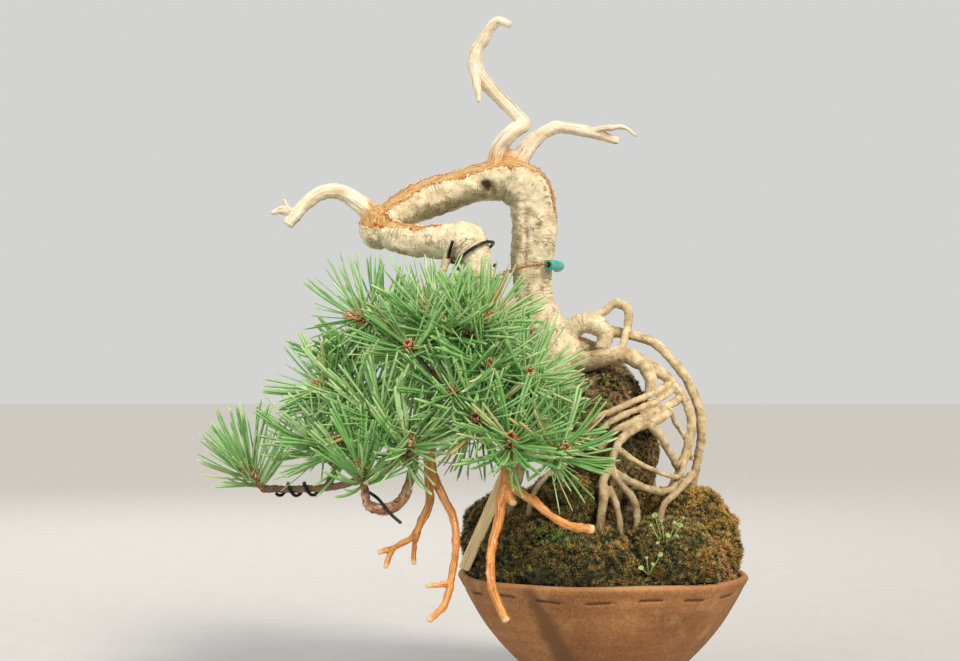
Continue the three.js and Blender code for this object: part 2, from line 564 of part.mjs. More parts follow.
// The three-cornered facets between those corners, and which of them grow a needle. The
// strip numbers the rings from the foot.
function shootFacets() {
  const facets = [];
  const corner = (ring, i) => 1 + ring * SHOOT_SIDES + ((i + SHOOT_SIDES) % SHOOT_SIDES);
  const tip = 1 + (SHOOT_RINGS + 1) * SHOOT_SIDES;
  for (let i = 0; i < SHOOT_SIDES; i += 1) {
    facets.push({ corners: [0, corner(0, i + 1), corner(0, i)] });
    facets.push({ corners: [tip, corner(SHOOT_RINGS, i), corner(SHOOT_RINGS, i + 1)] });
    for (let ring = 0; ring < SHOOT_RINGS; ring += 1) {
      const shift = ring % 2;
      const grows = ring > 0 && ring < SHOOT_RINGS - 1 && (i + 2 * ring) % SHOOT_SIDES < NEEDLES_PER_RING;
      facets.push({
        corners: [corner(ring, i), corner(ring, i + 1), corner(ring + 1, i + shift)], strip: ring, grows,
      });
      facets.push({ corners: [corner(ring, i + 1 - shift), corner(ring + 1, i + 1), corner(ring + 1, i)] });
    }
  }
  return facets;
}

// A needle that grows from one facet, or nothing where it would meet something else.
function needleFrom(facet, corners, frame, random, obstacles, placed) {
  const foot = new THREE.Vector3();
  facet.corners.forEach((index) => foot.addScaledVector(corners[index], 1 / 3));
  const out = foot.clone().sub(frame.start);
  out.addScaledVector(frame.forward, -out.dot(frame.forward)).normalize();
  const around = frame.forward.clone().cross(out);
  const along = facet.strip / (SHOOT_RINGS - 1);
  for (let attempt = 0; attempt < NEEDLE_TRIES; attempt += 1) {
    const lean = THREE.MathUtils.lerp(WIDEST_LEAN, LEAST_LEAN, along) + (random() - 0.5) * 0.35;
    const turn = (random() - 0.5) * 0.9;
    const way = frame.forward.clone().multiplyScalar(Math.cos(lean))
      .addScaledVector(out, Math.sin(lean) * Math.cos(turn))
      .addScaledVector(around, Math.sin(lean) * Math.sin(turn))
      .addScaledVector(UP, frame.lift)
      .normalize();
    const length = NEEDLE_LENGTH * (0.92 + 0.16 * random());
    const end = foot.clone().addScaledVector(way, length);
    const middle = foot.clone().addScaledVector(way, length / 2);
    const bone = { start: foot.clone().addScaledVector(way, 1), end, radius: NEEDLE_RADIUS };
    const clear = !nearGround(end) && !nearGround(middle)
      && obstacles.every((other) => distanceBetween(bone, other) > other.radius + NEEDLE_RADIUS + GAP)
      && placed.every((other) => distanceBetween(bone, other) > 1.9 * NEEDLE_RADIUS);
    if (clear) return bone;
  }
  return null;
}

// A spray: a slim shoot with its bud, whose facets are drawn out into long needles. They
// follow a spiral up the shoot, spread wide near its foot and point forward near the bud.
function spray(place, owner, taken) {
  const random = randomFrom(100 + owner);
  const frame = shootFrame(place);
  const corners = shootCorners(frame);
  const obstacles = taken.filter((bone) => bone.owner !== owner
    && bone.start.distanceTo(frame.start) < SHOOT_LENGTH + 2.2 * NEEDLE_LENGTH);
  const bones = [];
  const triangles = [];
  for (const facet of shootFacets()) {
    const [a, b, c] = facet.corners;
    const bone = facet.grows ? needleFrom(facet, corners, frame, random, obstacles, bones) : null;
    if (!bone) {
      triangles.push(a, b, c);
      continue;
    }
    bones.push(bone);
    const tip = corners.push(bone.end.clone()) - 1;
    triangles.push(a, b, tip, b, c, tip, c, a, tip);
  }
  bones.forEach((bone) => taken.push({ ...bone, owner }));
  const geometry = new THREE.BufferGeometry().setFromPoints(corners);
  geometry.setIndex(triangles);
  return solidOf(geometry);
}

function sprays(obstacles) {
  const taken = [...obstacles];
  SPRAYS.forEach((place, owner) => {
    const { start, forward } = shootFrame(place);
    const end = start.clone().addScaledVector(forward, SHOOT_LENGTH + BUD_TIP_RADIUS);
    taken.push({ start, end, owner, radius: SHOOT_RADIUS + BUD_SWELL });
  });
  return SPRAYS.map((place, owner) => spray(place, owner, taken));
}

// ---------------------------------------------------------------------------
// Stake, wires and seedlings
// ---------------------------------------------------------------------------

// A flat stick, square cut, leaning from the rim to the branch.
function stake(grow = 0) {
  const foot = vector(STAKE_FOOT);
  const head = vector(STAKE_HEAD);
  const [width, thickness] = STAKE_SECTION;
  const size = [width, thickness, foot.distanceTo(head)].map((length) => length + 2 * grow);
  const stick = new THREE.BoxGeometry(...size);
  const axis = head.clone().sub(foot).normalize();
  const across = new THREE.Vector3(0, 1, 0).cross(axis).normalize();
  const turned = new THREE.Matrix4().makeBasis(across, axis.clone().cross(across), axis);
  stick.applyMatrix4(turned);
  stick.translate(...foot.add(head).multiplyScalar(0.5));
  return solidOf(stick);
}

// A wire wound round a limb between two places along it.
function woundWire(route, from, to, turns) {
  const curve = curveOf(route);
  const steps = Math.round(turns * 11);
  const frames = curve.computeFrenetFrames(100);
  const points = [];
  for (let i = 0; i <= steps; i += 1) {
    const u = THREE.MathUtils.lerp(from, to, i / steps);
    const angle = (2 * Math.PI * turns * i) / steps;
    const away = radiusAlong(route, curve.getUtoTmapping(u)) * 1.12 + TRAINING_WIRE_RADIUS + GAP;
    const frame = Math.round(u * 100);
    const point = curve.getPointAt(u)
      .addScaledVector(frames.normals[frame], away * Math.cos(angle))
      .addScaledVector(frames.binormals[frame], away * Math.sin(angle));
    points.push([...point, TRAINING_WIRE_RADIUS]);
  }
  return points;
}

function sleeve() {
  const path = curveOf(GUY_WIRE);
  const routeOf = (radius, spread) => {
    const route = [];
    for (let i = 0; i <= SLEEVE_STEPS; i += 1) {
      const [from, to] = [SLEEVE_SPAN[0] - spread, SLEEVE_SPAN[1] + spread];
      route.push([...path.getPointAt(THREE.MathUtils.lerp(from, to, i / SLEEVE_STEPS)), radius]);
    }
    return route;
  };
  const outside = limb(routeOf(SLEEVE_RADIUS, 0), { sides: 8 });
  return outside.subtract(limb(routeOf(SLEEVE_BORE, 0.02), { sides: 6 }));
}

// A tiny weed: a thin stalk to each round leaf.
function seedling({ root, leaves }, grow = 0) {
  const pieces = leaves.map(([x, y, z]) => {
    const stalk = limb([[...root, 0.6], [(root[0] + x) / 2, (root[1] + y) / 2 - 1, (root[2] + z) / 2, 0.55],
      [x, y, z, 0.5]], { sides: 4, grow });
    return stalk.add(lump([x, y, z], [2.9, 2.7, 0.7], { around: 7, down: 3, uneven: 0, grow }));
  });
  return joined(pieces);
}

// ---------------------------------------------------------------------------
// Assembly
// ---------------------------------------------------------------------------

const BARK = { colour: '#8f7c62', roughness: 0.9 };
const DEADWOOD = { colour: '#cfc3a8', roughness: 0.85 };
const STRIPPED_WOOD = { colour: '#c9752f', roughness: 0.7 };
const CLAY = { colour: '#9a6a45', roughness: 0.9 };
const SOIL = { colour: '#3a2c20', roughness: 1 };
const STAKE_WOOD = { colour: '#c2ab7c', roughness: 0.8 };
const COPPER = { colour: '#a5623a', roughness: 0.4, metalness: 1 };
const DARK_WIRE = { colour: '#1d1f1d', roughness: 0.5, metalness: 0.6 };
const TEAL_PLASTIC = { colour: '#2d8a83', roughness: 0.5 };
const NEEDLE_GREEN = { colour: '#5a9160', roughness: 0.6 };
const LEAF_GREEN = { colour: '#a9bd83', roughness: 0.7 };

const twigs = SPRAYS.map(twigRoute);
const wireOnFold = woundWire(FOLD, 0.6, 0.82, 1.6);
const wireOnBranch = woundWire(LIMBS.far_left, 0.68, 0.94, 2.4);

// All the wood that grew as one piece under one bark, grown a little for the holes that it
// stands in.
function livingWood(grow = 0) {
  return joined([
    trunkShape(grow), foldShape(grow), limb(HEEL, { sides: 9, grow }), limbs(ROOTS, { grow }),
    limbs(LIMBS, { grow }),
    ...twigs.map((route) => limb(route, { sides: 4, grow })),
  ]);
}

const wood = livingWood();
const woodHoles = livingWood(GAP);

function deadwoodLeft() {
  const stem = limb(DEADWOOD_LEFT, { sides: 7, perSpan: 2 });
  const fine = limbs([DEADWOOD_LEFT_SPUR, DEADWOOD_LEFT_TIP]);
  return biggest(stem.add(fine).subtract(woodHoles));
}

function deadwoodCrown() {
  const stems = [CROWN_UP, CROWN_RIGHT].map((route) => limb(route, { sides: 6, perSpan: 2 }));
  const fine = [CROWN_SADDLE, CROWN_UP_SPUR, CROWN_RIGHT_TWIG].map((route) => limb(route));
  return biggest(joined([...stems, ...fine]).subtract(woodHoles));
}

const strippedBranch = (routes) => biggest(limbs(routes, { sides: 6 }).subtract(woodHoles));

const seedlingHoles = Object.values(SEEDLINGS).map((plant) => seedling(plant, GAP));
const soilHoles = joined([woodHoles, ...seedlingHoles]);
const soil = biggest(soilShape().subtract(soilHoles));
const moss = mossCushions([soilShape(GAP), mossFloor(), bowl(GAP), soilHoles, stake(GAP)]);
const propHoles = woodHoles.add(limb(STRIPPED_RIGHT.down, { sides: 6, grow: GAP }));
const prop = biggest(stake().subtract(propHoles));

const obstacles = [
  TRUNK, FOLD, HEEL, ...Object.values(ROOTS), ...Object.values(LIMBS), ...twigs, DEADWOOD_LEFT,
  ...Object.values(STRIPPED_LEFT), ...Object.values(STRIPPED_RIGHT), GUY_ROUTE, wireOnFold, wireOnBranch,
  [[...STAKE_FOOT, 4.5], [...STAKE_HEAD, 4.5]],
].flatMap((route) => bonesOf(route, -1));

const bonsai = new THREE.Group();
bonsai.add(meshOf('pot', bowl(), CLAY));
bonsai.add(meshOf('soil', soil, SOIL));
for (const [name, cushion] of Object.entries(moss)) {
  bonsai.add(meshOf(name, cushion, { colour: MOSS[name].colour, roughness: 1 }));
}
bonsai.add(meshOf('trunk', wood, BARK));
bonsai.add(meshOf('deadwood_left', deadwoodLeft(), DEADWOOD));
bonsai.add(meshOf('deadwood_crown', deadwoodCrown(), DEADWOOD));
bonsai.add(meshOf('stripped_branch_left', strippedBranch(STRIPPED_LEFT), STRIPPED_WOOD));
bonsai.add(meshOf('stripped_branch_right', strippedBranch(STRIPPED_RIGHT), STRIPPED_WOOD));
bonsai.add(meshOf('stake', prop, STAKE_WOOD));
bonsai.add(meshOf('guy_wire', limb(GUY_ROUTE, { perSpan: 2 }), COPPER));
bonsai.add(meshOf('wire_sleeve', sleeve(), TEAL_PLASTIC));
bonsai.add(meshOf('training_wire_fold', limb(wireOnFold), DARK_WIRE));
bonsai.add(meshOf('training_wire_branch', limb(wireOnBranch), DARK_WIRE));
for (const [name, plant] of Object.entries(SEEDLINGS)) {
  bonsai.add(meshOf(name, seedling(plant), LEAF_GREEN));
}
sprays(obstacles).forEach((solid, i) => {
  bonsai.add(meshOf(`needles_${String(i + 1).padStart(2, '0')}`, solid, NEEDLE_GREEN));
});

export default bonsai;
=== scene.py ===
# %% [markdown]
# # A pine bonsai in a clay bowl
#
# An old pine grows out of a mass of bare roots, turns over to the left, folds
# back on itself and drops a live branch with long needles in front. Bleached
# dead wood stands on its crown. The solids of the tree and its bowl are loaded
# first, and every finer piece below is built round them, in the same place.

# %% Load the frame
import json
import math

import bmesh
import bpy
import numpy as np
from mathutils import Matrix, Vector, kdtree, noise


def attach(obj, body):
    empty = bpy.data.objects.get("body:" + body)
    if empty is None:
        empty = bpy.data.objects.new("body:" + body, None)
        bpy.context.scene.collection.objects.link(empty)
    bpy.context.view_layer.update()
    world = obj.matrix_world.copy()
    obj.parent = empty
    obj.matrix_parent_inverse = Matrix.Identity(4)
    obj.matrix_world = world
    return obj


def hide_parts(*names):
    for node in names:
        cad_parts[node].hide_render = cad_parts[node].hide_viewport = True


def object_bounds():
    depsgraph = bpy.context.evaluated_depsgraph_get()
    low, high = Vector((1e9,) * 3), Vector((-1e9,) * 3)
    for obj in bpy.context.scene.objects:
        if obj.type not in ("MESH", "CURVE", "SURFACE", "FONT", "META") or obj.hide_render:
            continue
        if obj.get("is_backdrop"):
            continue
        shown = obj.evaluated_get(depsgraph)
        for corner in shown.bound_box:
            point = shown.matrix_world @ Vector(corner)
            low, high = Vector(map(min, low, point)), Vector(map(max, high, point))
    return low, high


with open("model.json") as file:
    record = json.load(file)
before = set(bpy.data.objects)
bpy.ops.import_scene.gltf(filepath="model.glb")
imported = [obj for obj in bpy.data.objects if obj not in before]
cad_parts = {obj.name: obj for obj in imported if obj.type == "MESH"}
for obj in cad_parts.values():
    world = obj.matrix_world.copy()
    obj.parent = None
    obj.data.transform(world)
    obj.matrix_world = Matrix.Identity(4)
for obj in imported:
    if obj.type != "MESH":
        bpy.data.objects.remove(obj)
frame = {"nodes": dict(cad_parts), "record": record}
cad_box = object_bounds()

MM = 0.001
print("solids:", len(frame["nodes"]))

# %% [markdown]
# Colours are written as sRGB hex values, as a colour picker shows them. Blender
# calculates in linear light, so one function turns them over. Node trees are
# long to write by hand: one helper adds a node, sets it up and links it.

# %% Colours and nodes
def linear(hex_colour):
    """An sRGB hex colour as linear red, green, blue and alpha."""
    parts = [int(hex_colour[i:i + 2], 16) / 255 for i in (1, 3, 5)]
    return [c / 12.92 if c <= 0.04045 else ((c + 0.055) / 1.055) ** 2.4 for c in parts] + [1.0]


def pick(sockets, key):
    """A socket by its place or by its name, among those that the node uses now."""
    used = [socket for socket in sockets if socket.enabled]
    return used[key] if isinstance(key, int) else next(s for s in used if s.name == key)


def add(tree, kind, inputs=None, stops=(), output=0, **settings):
    """Adds a node, sets it up, and links or sets its inputs. Returns one of its outputs."""
    node = tree.nodes.new(kind)
    for name, value in settings.items():
        setattr(node, name, value)
    if stops:
        band = node.color_ramp.elements
        while len(band) < len(stops):
            band.new(0.5)
        for element, (place, hex_colour) in zip(band, stops):
            element.position = place
            element.color = linear(hex_colour)
    for key, value in (inputs or {}).items():
        socket = pick(node.inputs, key)
        if isinstance(value, bpy.types.NodeSocket):
            tree.links.new(value, socket)
        elif isinstance(value, str) and socket.type == "RGBA":
            socket.default_value = linear(value)
        else:
            socket.default_value = value
    return pick(node.outputs, output)


def material_called(name, roughness, **constants):
    """A new material: itself, its tree and its surface shader, with constants set on the shader."""
    material = bpy.data.materials.new(name)
    material.use_nodes = True
    shader = material.node_tree.nodes["Principled BSDF"]
    shader.inputs["Roughness"].default_value = roughness
    for label, value in constants.items():
        shader.inputs[label.replace("_", " ")].default_value = value
    return material, material.node_tree, shader


def cover(tree, shader, colour, height, strength, depth):
    """Links a finish's colour, and a fine relief of this depth in millimetres."""
    dent = add(tree, "ShaderNodeBump", {"Height": height, "Strength": strength, "Distance": depth * MM})
    tree.links.new(colour, shader.inputs["Base Color"])
    tree.links.new(dent, shader.inputs["Normal"])


print("mid grey in linear light:", round(linear("#808080")[0], 3))

# %% [markdown]
# Each finished piece is one plain mesh object at the origin. A rule that runs
# as Geometry Nodes is evaluated once, its result is kept as a plain mesh, and
# the modifier goes away again.

# %% Objects
def new_object(name, mesh):
    made = bpy.data.objects.new(name, mesh)
    bpy.context.scene.collection.objects.link(made)
    return made


def keep_on_points(mesh, label, values):
    """Stores numbers, or vectors of three numbers, on the points of a mesh."""
    values = np.asarray(values, np.float32)
    kind, field = ("FLOAT", "value") if values.ndim == 1 else ("FLOAT_VECTOR", "vector")
    mesh.attributes.new(label, kind, "POINT").data.foreach_set(field, values.ravel())


def mesh_of(name, points, faces, attributes=None):
    """A mesh from points in millimetres, with named values kept on its points."""
    mesh = bpy.data.meshes.new(name)
    mesh.from_pydata((np.asarray(points) * MM).tolist(), [], faces)
    for label, values in (attributes or {}).items():
        keep_on_points(mesh, label, values)
    mesh.update()
    return mesh


def points_of(mesh):
    """The points of a mesh in millimetres."""
    flat = np.zeros(len(mesh.vertices) * 3, np.float32)
    mesh.vertices.foreach_get("co", flat)
    return flat.reshape(-1, 3).astype(float) / MM


def move_points(mesh, rise):
    """Moves each point of a mesh along its normal, in millimetres."""
    normals = np.zeros(len(mesh.vertices) * 3, np.float32)
    mesh.vertices.foreach_get("normal", normals)
    moved = points_of(mesh) + normals.reshape(-1, 3) * np.asarray(rise)[:, None]
    mesh.vertices.foreach_set("co", (moved * MM).astype(np.float32).ravel())
    mesh.update()


# %% Rules
def plain_mesh(base):
    """The mesh of an object with its modifiers applied, shaded smooth. The object goes away."""
    base.update_tag()
    depsgraph = bpy.context.evaluated_depsgraph_get()
    made = bpy.data.meshes.new_from_object(
        base.evaluated_get(depsgraph), preserve_all_data_layers=True, depsgraph=depsgraph)
    made.shade_smooth()
    bpy.data.objects.remove(base)
    return made


def set_modifier(base, tree, values):
    """Puts a rule on an object, with its named inputs set."""
    rule = base.modifiers.new(tree.name, "NODES")
    rule.node_group = tree
    inputs = {item.name: item.identifier for item in tree.interface.items_tree if item.in_out == "INPUT"}
    for label, value in values.items():
        rule[inputs[label.replace("_", " ")]] = value


def node_rule(name, sockets):
    """An empty Geometry Nodes tree with named inputs: (name, kind, default)."""
    tree = bpy.data.node_groups.new(name, "GeometryNodeTree")
    tree.interface.new_socket("Geometry", in_out="OUTPUT", socket_type="NodeSocketGeometry")
    tree.interface.new_socket("Geometry", in_out="INPUT", socket_type="NodeSocketGeometry")
    for label, kind, default in sockets:
        socket = tree.interface.new_socket(label, in_out="INPUT", socket_type="NodeSocket" + kind)
        if default is not None:
            socket.default_value = default
    return tree, tree.nodes.new("NodeGroupInput").outputs, tree.nodes.new("NodeGroupOutput").inputs


# %% Finished pieces
finished = []


def finish_piece(name, mesh, slot, nodes=(), material=None):
    """A finished piece: its finish, its body and the solids it stands for, which are hidden. Its slot is not
    used.
    """
    piece = new_object(name, mesh)
    if material:
        piece.data.materials.append(material)
    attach(piece, "root")
    if nodes:
        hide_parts(*nodes)
    triangles = sum(len(face.vertices) - 2 for face in mesh.polygons)
    finished.append(triangles)
    print(f"{name}: {triangles} triangles")


# %% [markdown]
# ## Camera, light and floor
#
# The photograph was taken from a little over a metre, straight on, with a long
# lens. The camera stands there. A big soft light from the front right and a
# weaker one from the left give the gentle shading of a studio.

# %% Camera
PHOTO_WIDTH = 960
FOCAL_PIXELS = 1770
HORIZON_ROW = 374
MIDDLE_ROW = 330.5
SENSOR_WIDTH = 36
CAMERA_PLACE = (-85.4, -1240, 222.5)

lens = bpy.data.cameras.new("camera")
lens.sensor_width = SENSOR_WIDTH
lens.lens = SENSOR_WIDTH * FOCAL_PIXELS / PHOTO_WIDTH
camera = bpy.data.objects.new("camera", lens)
camera.location = Vector(CAMERA_PLACE) * MM
camera.rotation_euler = (math.pi / 2 + math.atan((HORIZON_ROW - MIDDLE_ROW) / FOCAL_PIXELS), 0, 0)
bpy.context.scene.collection.objects.link(camera)
bpy.context.scene.camera = camera
bpy.context.scene.view_settings.view_transform = "Standard"
print("lens:", round(lens.lens, 1), "mm on a sensor", SENSOR_WIDTH, "mm wide")


# %% Lights
TREE_MIDDLE = (-0.05, 0, 0.2)


def soft_light(name, kind, place, power, size, colour):
    """A lamp that looks at the middle of the tree. A sun's size is its angle."""
    lamp = bpy.data.lights.new(name, kind)
    lamp.energy = power
    lamp.color = linear(colour)[:3]
    setattr(lamp, "angle" if kind == "SUN" else "size", size)
    holder = bpy.data.objects.new(name, lamp)
    holder.location = place
    holder.rotation_euler = (Vector(TREE_MIDDLE) - Vector(place)).to_track_quat("-Z", "Y").to_euler()
    bpy.context.scene.collection.objects.link(holder)


soft_light("key", "SUN", (0.75, -1.3, 1.5), 3.1, math.radians(18), "#FFF4E6")
soft_light("fill", "AREA", (-1.5, -1.3, 0.9), 17, 1.5, "#F4F7FF")
soft_light("rim", "AREA", (-0.5, 1.4, 1.3), 10, 1.0, "#FFFFFF")

world = bpy.data.worlds.new("studio")
world.use_nodes = True
backdrop = world.node_tree.nodes["Background"]
backdrop.inputs["Color"].default_value = linear("#ECECEA")
backdrop.inputs["Strength"].default_value = 0.78
bpy.context.scene.world = world
print("lamps:", len(bpy.data.lights))

# %% Floor
FLOOR_REACH = 12000


def mottled_material(name, roughness, scale, stops, detail=3.0, contrast=0.5, **constants):
    """A material mottled in a few tones by a noise of scale waves to the metre."""
    material, tree, shader = material_called(name, roughness, **constants)
    where = add(tree, "ShaderNodeTexCoord", output="Object")
    mottle = add(tree, "ShaderNodeTexNoise", {"Vector": where, "Scale": scale, "Detail": detail,
                                              "Roughness": contrast})
    mottle = add(tree, "ShaderNodeValToRGB", {"Fac": mottle}, stops=stops)
    tree.links.new(mottle, shader.inputs["Base Color"])
    return material


floor_points = [(x * FLOOR_REACH, y * FLOOR_REACH, 0) for x, y in ((-1, -1), (1, -1), (1, 1), (-1, 1))]
floor = new_object("floor", mesh_of("floor", floor_points, [(0, 1, 2, 3)]))
paint = mottled_material("matt studio paint", 0.9, 40.0, [(0.3, "#B3B2AF"), (0.7, "#B7B6B3")])
floor.data.materials.append(paint)
floor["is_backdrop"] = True
print("floor:", 2 * FLOOR_REACH / 1000, "m wide")

# %% [markdown]
# ## Routes of the wood
#
# Wood grows along lines. Each route lists a few points of a stem or root, with
# its radius there, in millimetres: x to the right, y away, z up.

# %% Routes of the trunk
TRUNK = [
    (-24, 6, 200, 13), (-27, 6, 219, 16.5), (-32, 4, 238, 17.6), (-40, 5, 253, 15), (-47, 6, 275, 13.2),
    (-49, 6, 301, 14.6), (-47, 4, 329, 15.8), (-51, 2, 351, 17), (-67, 0, 360, 15.8), (-91, -4, 355.5, 13),
    (-127, -10, 342.5, 13.4), (-152, -16, 330, 10.4),
]
FOLD = [
    (-152, -20, 321, 10.4), (-138, -28, 315, 10.8), (-122, -33, 313, 11.3), (-107, -38, 313, 12.6),
    (-95, -43, 311.5, 14), (-86, -50, 294, 9.8), (-80, -56, 277, 8.4),
]
HEEL = [
    (-156, -19, 339, 5), (-156, -19, 334, 10.5), (-156, -19, 324, 13.2), (-156, -19, 314, 10.5),
    (-156, -19, 309.5, 5),
]
KNOB = [
    (-28, 4, 250, 8.4), (-14, 2, 258, 7.7), (-4, 2, 257, 7.4), (2, 2, 250, 6.3), (0, 0, 240, 4.9),
]
print("trunk routes:", len(TRUNK), "points up the trunk and", len(FOLD), "down the fold")

# %% Routes of the roots
ROOTS_ARCHED = [
    [(-12, 5, 259, 5.2), (1, 4, 266, 3.2), (10, 2, 272, 3.2), (18, 0, 268, 3.3), (18, -3, 256, 3),
     (13, -9, 240, 2.6)],
    [(-4, 6, 254, 4.9), (20, 4, 250, 3.6), (37, 0, 244, 3.3), (49, -3, 232, 3.3), (58, -5, 220, 3.4),
     (67, -6, 199, 3.5), (69, -6, 183, 3.5), (67, -4, 166, 3.2), (64, -2, 150, 2.9), (60, -1, 128, 2.8),
     (57, 0, 108, 2.4)],
    [(-30, 0, 234, 9), (-12, -6, 231, 7.2), (1, -12, 234, 6.2), (13, -14, 236, 5.6), (25, -16, 231, 5.6),
     (37, -16, 225, 4.5), (47, -16, 217, 3.6), (58, -15, 201, 3.2), (61, -15, 186, 3.3),
     (58, -15, 172, 3.3), (53, -16, 157, 3.2), (46, -19, 143, 3), (38, -25, 128, 2.8), (34, -28, 108, 2.4)],
    [(27, -17, 230, 5), (32, -22, 219, 4.4), (31, -25, 208, 3.4)],
    [(62, -4, 152, 3), (56, -26, 149, 2.7), (48, -42, 143, 2.4), (38, -52, 135, 2.3), (34, -57, 121, 2.2),
     (32, -58, 100, 2)],
    [(30, -36, 188, 3), (37, -34, 181, 2.9), (43, -27, 171, 2.8), (49, -20, 162, 2.8), (54, -14, 152, 2.6)],
    [(45, -24, 198, 2.2), (50, -17, 188, 1.8), (58, -12, 176, 1.8), (62, -8, 163, 1.9)],
]
ROOTS_BUNDLED = [
    [(47, -16, 217, 2.8), (33, -27, 209, 2.3), (19, -35, 204, 2.2), (5, -41, 198, 2.2),
     (-8, -43, 192, 2.2), (-19, -34, 180, 2.3)],
    [(49, -15, 213, 2.8), (36, -25, 204, 2.4), (23, -33, 199, 2.3), (9, -41, 193.5, 2.2),
     (-2, -43, 187, 2.1), (-10, -38, 176, 2)],
    [(53, -15, 206, 3.2), (41, -22, 199, 2.7), (29, -31, 195, 2.6), (17, -38, 189.5, 2.5),
     (5, -44, 184, 2.4), (-5, -43, 172, 2.2)],
    [(45, -24, 197, 3.2), (35, -31, 190.5, 3.2), (23, -39, 187, 3.1), (13, -44, 181.5, 3),
     (6, -48, 173, 2.8), (3, -50, 160, 2.8), (10, -51, 148, 2.7), (18, -54, 137, 2.6), (19, -57, 124, 2.4),
     (16, -59, 108, 2.2), (13, -58, 94, 2)],
    [(7, -49, 172, 2.2), (21, -51, 163, 1.9), (36, -46, 156, 1.8), (50, -30, 153, 2), (56, -17, 162, 2)],
    [(6, -49, 156, 2.6), (19, -55, 149, 2.5), (33, -52, 144, 2.5), (44, -38, 144, 2.6),
     (51, -22, 150, 2.7)],
    [(2, -49, 161, 2.8), (-3, -53, 151, 3), (-3, -57, 140, 3), (-5, -60, 126, 2.8), (-8, -62, 110, 2.5),
     (-9, -62, 94, 2.1)],
    [(1, -54, 147, 2.3), (6, -60, 133, 2.2), (8, -63, 119, 2.1), (8, -64, 98, 1.9)],
    [(-19, -33, 180, 3), (-27, -38, 163, 2.7), (-37, -44, 156, 2.5), (-46, -49, 148, 2.3),
     (-52, -55, 134, 2.2), (-53, -58, 112, 2)],
]
ROOTS_BEHIND = [
    [(-38, 2, 228, 8), (-49, -6, 208, 5.2), (-53, -16, 184, 4.2), (-58, -24, 158, 3.8),
     (-64, -28, 134, 3.4), (-67, -30, 108, 2.8)],
    [(-40, 8, 232, 8), (-51, 18, 208, 5), (-52, 30, 182, 4.2), (-56, 38, 156, 3.7), (-61, 42, 132, 3.3),
     (-64, 43, 106, 2.7)],
    [(-26, 12, 232, 8.5), (-18, 30, 214, 5.4), (-13, 42, 190, 4.6), (-14, 50, 164, 4), (-9, 58, 138, 3.5),
     (-6, 60, 110, 2.8)],
    [(-24, 8, 244, 8), (-6, 15, 240, 6), (13, 25, 228, 4.8), (28, 34, 208, 4.2), (36, 42, 180, 3.8),
     (38, 47, 152, 3.4), (42, 50, 126, 3), (42, 50, 106, 2.5)],
]
print("roots:", len(ROOTS_ARCHED + ROOTS_BUNDLED + ROOTS_BEHIND))

# %% Routes of the branches
LIMBS = [
    [(-80, -56, 279, 8.2), (-75, -62, 262, 6.9), (-72, -68, 242, 5.8), (-73, -76, 215, 5),
     (-70, -85, 190, 4.6), (-66, -92, 176, 4.6)],
    [(-76, -62, 258, 5.4), (-92, -68, 243, 4.8), (-110, -72, 226, 4.5), (-119, -76, 200, 4.3),
     (-119, -82, 172, 4.8)],
    [(-118, -75, 208, 3.6), (-127, -80, 181, 3.3), (-130, -87, 157, 3.2), (-136, -93, 141, 3.4),
     (-147, -97, 135, 3.6), (-158, -99, 138, 3.1)],
    [(-128, -82, 172, 3.1), (-152, -78, 158, 2.8), (-178, -70, 149, 2.6), (-206, -62.5, 146, 2.5),
     (-226, -57, 146, 2.5)],
    [(-111, -72, 224, 3.5), (-134, -64, 212, 3.2), (-154, -57, 206, 2.9), (-170, -53, 205, 2.6)],
    [(-94, -69, 241, 3.5), (-117, -65, 243, 3), (-136, -60, 246, 2.8), (-147, -57, 253, 2.6)],
    [(-94, -67, 242, 4), (-102, -44, 234, 3.5), (-113, -18, 222, 3.2), (-127, 6, 212, 2.9)],
    [(-119, -77, 198, 3.4), (-137, -55, 187, 3.1), (-152, -35, 182, 2.8)],
    [(-72, -69, 238, 3.8), (-68, -52, 217, 3.2), (-66, -44, 198, 2.8)],
    [(-71, -84, 194, 3.7), (-58, -86, 175, 3), (-46, -87, 168, 2.7)],
    [(-73, -70, 236, 3.5), (-65, -73, 226, 3), (-62, -74, 216, 2.6)],
    [(-106, -40, 306, 3.4), (-110, -55, 292, 2.6), (-112, -62, 279, 2.2)],
]
print("live branches:", len(LIMBS))

# %% Routes of the bare wood
DEADWOOD_LEFT = [
    [(-146, -14, 333, 8), (-158, -14, 332, 8.2), (-168, -16, 340, 6.6), (-181, -18, 348, 5.6),
     (-194, -20, 348, 5.2), (-206, -22, 339.5, 4.7), (-213, -24, 331, 4.4), (-217.5, -25, 325, 3.9)],
    [(-212, -24, 333, 3.2), (-221, -26, 335, 2.8), (-228.5, -28, 333, 1.6)],
    [(-217, -25, 334, 2.6), (-220, -26, 342.5, 1.3)],
]
DEADWOOD_CROWN = [
    [(-75, -4, 364, 7.4), (-72, -8, 380, 6), (-63, -11, 391, 5.6), (-55, -8, 397, 5), (-62, -4, 406, 4.6),
     (-74, 0, 419, 4.7), (-87, 2, 434, 5.6), (-89, 2, 446, 5.2), (-83, 0, 458, 4.2), (-73, -4, 470, 3.5),
     (-64, -8, 467, 2.6)],
    [(-89, 1, 440, 4.4), (-88, -7, 426, 3.2), (-86, -13, 412, 1.8)],
    [(-64, 2, 364, 9), (-52, 6, 382, 5.9), (-42, 8, 392, 4.9), (-32, 10, 397, 4.6), (-11, 14, 395, 4.2),
     (13, 20, 389, 2.8)],
    [(-9, 14, 395, 2.6), (6, 13, 397, 2.2), (17, 15, 398, 1.8), (26, 17, 392, 1.2)],
    [(-76, -4, 371, 6.5), (-68, 0, 374, 7), (-60, 3, 373, 6.5)],
]
